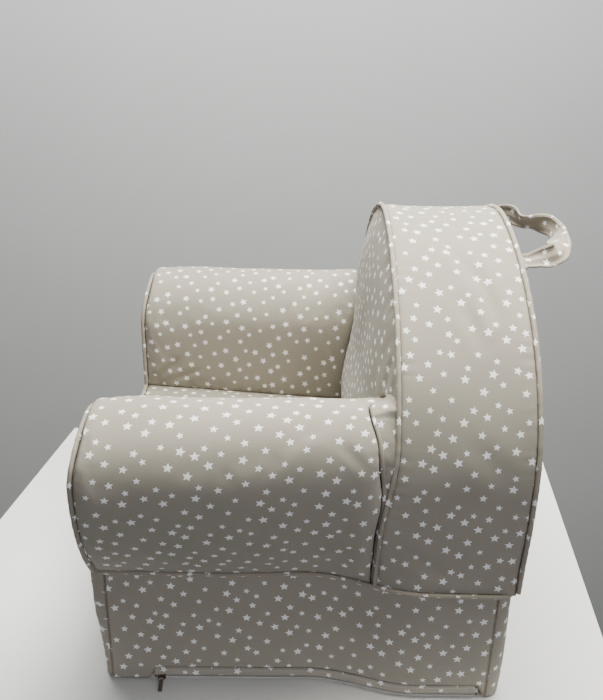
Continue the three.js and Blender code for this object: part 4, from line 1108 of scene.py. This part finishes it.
def repeated(name, paths, spacing, half_size, material):
    """A plain mesh of small pieces along paths; sizes in millimetres, Y along the path."""
    points = np.vstack(paths) * MM
    edges, start = [], 0
    for path in paths:
        edges += [(start + k, start + k + 1) for k in range(len(path) - 1)]
        start += len(path)
    guide_mesh = bpy.data.meshes.new(name + "_guide")
    guide_mesh.from_pydata(points.tolist(), edges, [])
    guide = bpy.data.objects.new(name + "_guide", guide_mesh)
    modifier = guide.modifiers.new("pieces", "NODES")
    modifier.node_group = PIECES_TREE
    values = {"Spacing": spacing * MM, "Half size": tuple(h * MM for h in half_size),
              "Material": material}
    for socket in PIECES_TREE.interface.items_tree:
        if socket.name in values:
            modifier[socket.identifier] = values[socket.name]
    bpy.context.scene.collection.objects.link(guide)
    bpy.context.view_layer.update()
    depsgraph = bpy.context.evaluated_depsgraph_get()
    mesh = bpy.data.meshes.new_from_object(guide.evaluated_get(depsgraph))
    bpy.data.objects.remove(guide)
    bpy.data.meshes.remove(guide_mesh)
    mesh.name = name
    mesh.shade_smooth()
    obj = bpy.data.objects.new(name, mesh)
    bpy.context.scene.collection.objects.link(obj)
    return obj


strap = carry_handle()
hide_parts("carry_handle")
swinging(strap)
hem_line = STRAP_WIDTH / 2 - STRAP_HEM + 1.3
stitch_rows, _ = strap_surface(np.array([hem_line, -hem_line, hem_line, -hem_line]),
                               np.array([1.0, 1.0, -1.0, -1.0])
                               * (STRAP_THICKNESS / 2 + 0.45))
strap_stitches = repeated("handle_hem_stitches", [stitch_rows[5:-5, k] for k in range(4)],
                          STITCH_PITCH, STITCH_HALF_SIZE, sewing_thread)
swinging(strap_stitches)


# ---- Zip ----

def zip_path(start, end, outward, height, step=6.0):
    y = stations(start, end, step)
    x = base_half_width(y) - ZIP_SETBACK + outward
    return np.column_stack([x, y, np.broadcast_to(height, y.shape)])


def band(name, rows, thickness, material, cad_node, seed, wave=0.0):
    """A sewn strip through rows of points, with a slight wave along its loose edge."""
    rng = np.random.default_rng(seed)
    rows = np.array(rows)
    loose = np.linspace(0, 1, len(rows))[:, None] ** 1.5
    run = rows[0, :, 1]
    rows[..., 0] += wave * loose * ripple(run, rng, 46, 11)
    rows[..., 2] += 0.4 * wave * loose * ripple(run, rng, 70, 17)
    width = np.linalg.norm(rows[-1, 0] - rows[0, 0])
    uv = np.stack([np.broadcast_to(run, rows.shape[:2]),
                   np.broadcast_to(np.linspace(0, width, len(rows))[:, None],
                                   rows.shape[:2])], -1)
    obj = mesh_object(name, rows.reshape(-1, 3), grid_faces(*rows.shape[:2]),
                      uv.reshape(-1, 2), material)
    thickened(obj, thickness, 0)
    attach(obj, "chair")
    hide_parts(cad_node)
    return obj


FLAP_END = ZIP_REAR - 4
flap_rows = [zip_path(ZIP_FRONT, FLAP_END, ZIP_SETBACK + out, z)
             for z, out in ((FLAP_TOP + 1.0, -0.6), (15.2, 0.5), (13.0, 0.6), (10.6, 0.6),
                            (FLAP_BOTTOM, 0.7))]
band("zip_cover_flap", flap_rows, 0.9, flap_cotton, "zip_flap", 71, wave=0.3)
flap_stitches = repeated("flap_stitches", [zip_path(ZIP_FRONT + 2, FLAP_END - 2,
                                                    ZIP_SETBACK + 1.0, 15.0)],
                         STITCH_PITCH, STITCH_HALF_SIZE, sewing_thread)
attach(flap_stitches, "chair")
band("zip_tape_upper", [zip_path(ZIP_FRONT, ZIP_REAR, 0, z) for z in (13.0, 9.7, 6.5)], 0.6,
     zip_tape, "zip_upper_tape", 72)
band("zip_tape_lower", [zip_path(ZIP_FRONT, ZIP_REAR, 0, z) for z in (1.3, 2.0, 2.7)], 0.6,
     zip_tape, "zip_lower_tape", 73)
for row, above in (("upper", TOOTH_ROW_GAP / 2), ("lower", -TOOTH_ROW_GAP / 2)):
    line = zip_path(ZIP_FRONT + STOP_LENGTH, ZIP_REAR - STOP_LENGTH, 0, ZIP_LEVEL + above)
    teeth = repeated(f"zip_coil_{row}", [line], TOOTH_PITCH, TOOTH_HALF_SIZE, coil_nylon)
    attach(teeth, "chair")
    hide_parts(f"zip_{row}_teeth")


def rounded_metal(name, cad_node, body, radius):
    """The part's own shape with its edges rounded off, as cast metal comes."""
    obj = bpy.data.objects.new(name, bpy.data.objects[cad_node].data.copy())
    bpy.context.scene.collection.objects.link(obj)
    obj.data.materials.clear()
    obj.data.materials.append(cast_zinc)
    obj.data.shade_smooth()
    bevel = obj.modifiers.new("rounded edges", "BEVEL")
    bevel.width, bevel.segments = radius * MM, 2
    bevel.limit_method, bevel.angle_limit = "ANGLE", math.radians(40)
    bevel.harden_normals = False
    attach(obj, body)
    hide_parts(cad_node)


for name, cad_node, body, radius in (
        ("slider_body", "zip_slider", "zip_slider", 0.25),
        ("slider_pull", "zip_pull", "zip_pull", 0.2),
        ("stop_front", "zip_front_stop", "chair", 0.2),
        ("stop_end", "zip_end_stop", "chair", 0.2)):
    rounded_metal(name, cad_node, body, radius)


# ---- Underside ----

def underside():
    outline = mirrored_path(half_footprint(3.0))
    keep = np.r_[True, np.linalg.norm(np.diff(outline, axis=0), axis=1) > 0.5]
    flat, faces = filled_outline(outline[keep], 14.0)
    sag = 0.6 * np.sin(flat[:, 0] * 0.031) * np.sin(flat[:, 1] * 0.027)
    points = np.column_stack([flat, 1.0 + 0.4 * np.abs(sag)])
    obj = mesh_object("cover_underside", points, faces, flat, lining_cotton)
    thickened(obj, CLOTH_THICKNESS, 0)
    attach(obj, "chair")
    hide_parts("bottom_panel")


underside()


# ---- Floor, backdrop, light and camera ----

def plain(name, colour, roughness):
    """A painted surface: one colour, with faint broad patches from the roller."""
    material, tree, shader = new_material(name)
    place = node(tree, "ShaderNodeTexCoord").outputs["Object"]
    cloud = node(tree, "ShaderNodeTexNoise", {"Vector": place, "Scale": 3.0, "Detail": 4.0})
    tone = node(tree, "ShaderNodeMapRange", {"Value": cloud.outputs[0], "To Min": 0.94,
                                             "To Max": 1.0}).outputs[0]
    tree.links.new(toned(tree, colour, tone), shader.inputs["Base Color"])
    shader.inputs["Roughness"].default_value = roughness
    return material


def slab(name, corners, low, high, material):
    """A flat board with the given corners in plan."""
    count = len(corners)
    points = [(x, y, z) for z in (low, high) for x, y in corners]
    around = [(k, (k + 1) % count, (k + 1) % count + count, k + count) for k in range(count)]
    faces = [tuple(range(count))[::-1], tuple(range(count, 2 * count)), *around]
    obj = recalculated(mesh_object(name, points, faces, None, material))
    obj.data.shade_flat()


slab("table_top", [(-368, -391), (300, -495), (300, 351), (-300, 409)], -40, 0,
     plain("painted board, matt white, rolled on", "#F3F3F1", 0.5))
slab("studio_wall", [(-2300, -5000), (-2280, -5000), (-2280, 5000), (-2300, 5000)],
     -5000, 4000, plain("emulsion paint, matt light grey", "#D6D8D6", 0.9))


def area_light(name, place, target, size, power, colour):
    light = bpy.data.lights.new(name, "AREA")
    light.shape = "RECTANGLE"
    light.size, light.size_y = size
    light.energy = power
    light.color = hex_colour(colour)[:3]
    obj = bpy.data.objects.new(name, light)
    obj.location = place
    aim = Vector(target) - Vector(place)
    obj.rotation_euler = aim.to_track_quat("-Z", "Y").to_euler()
    obj.visible_camera = False
    bpy.context.scene.collection.objects.link(obj)


area_light("ceiling_light", (0.07, 0.2, 1.3), (0.03, 0.08, 0.2), (0.6, 0.7), 34, "#FFFDF1")
area_light("window_fill", (1.7, 0.35, 0.75), (0, 0, 0.2), (1.2, 1.0), 10, "#F8F8FF")
area_light("wall_wash", (-1.0, 0.0, 2.6), (-2.3, 0, 0.9), (3.0, 0.8), 168, "#FFFFFF")
world = bpy.data.worlds.new("studio")
world.use_nodes = True
world.node_tree.nodes["Background"].inputs[0].default_value = hex_colour("#C8CCCE")
world.node_tree.nodes["Background"].inputs[1].default_value = 0.13
bpy.context.scene.world = world

yaw, pitch, roll = 0.020, 0.411, 0.023
ahead = Vector((-math.cos(yaw) * math.cos(pitch), math.sin(yaw) * math.cos(pitch),
                -math.sin(pitch)))
level = Vector((math.sin(yaw), math.cos(yaw), 0))
above = level.cross(ahead)
right = math.cos(roll) * level + math.sin(roll) * above
upward = -math.sin(roll) * level + math.cos(roll) * above
camera_data = bpy.data.cameras.new("camera")
camera_data.lens = 43.04
camera_data.sensor_width = 36
camera = bpy.data.objects.new("camera", camera_data)
axes = Matrix((right, upward, -ahead)).transposed()
camera.matrix_world = Matrix.Translation((0.9256, -0.0232, 0.7193)) @ axes.to_4x4()
bpy.context.scene.collection.objects.link(camera)
bpy.context.scene.camera = camera
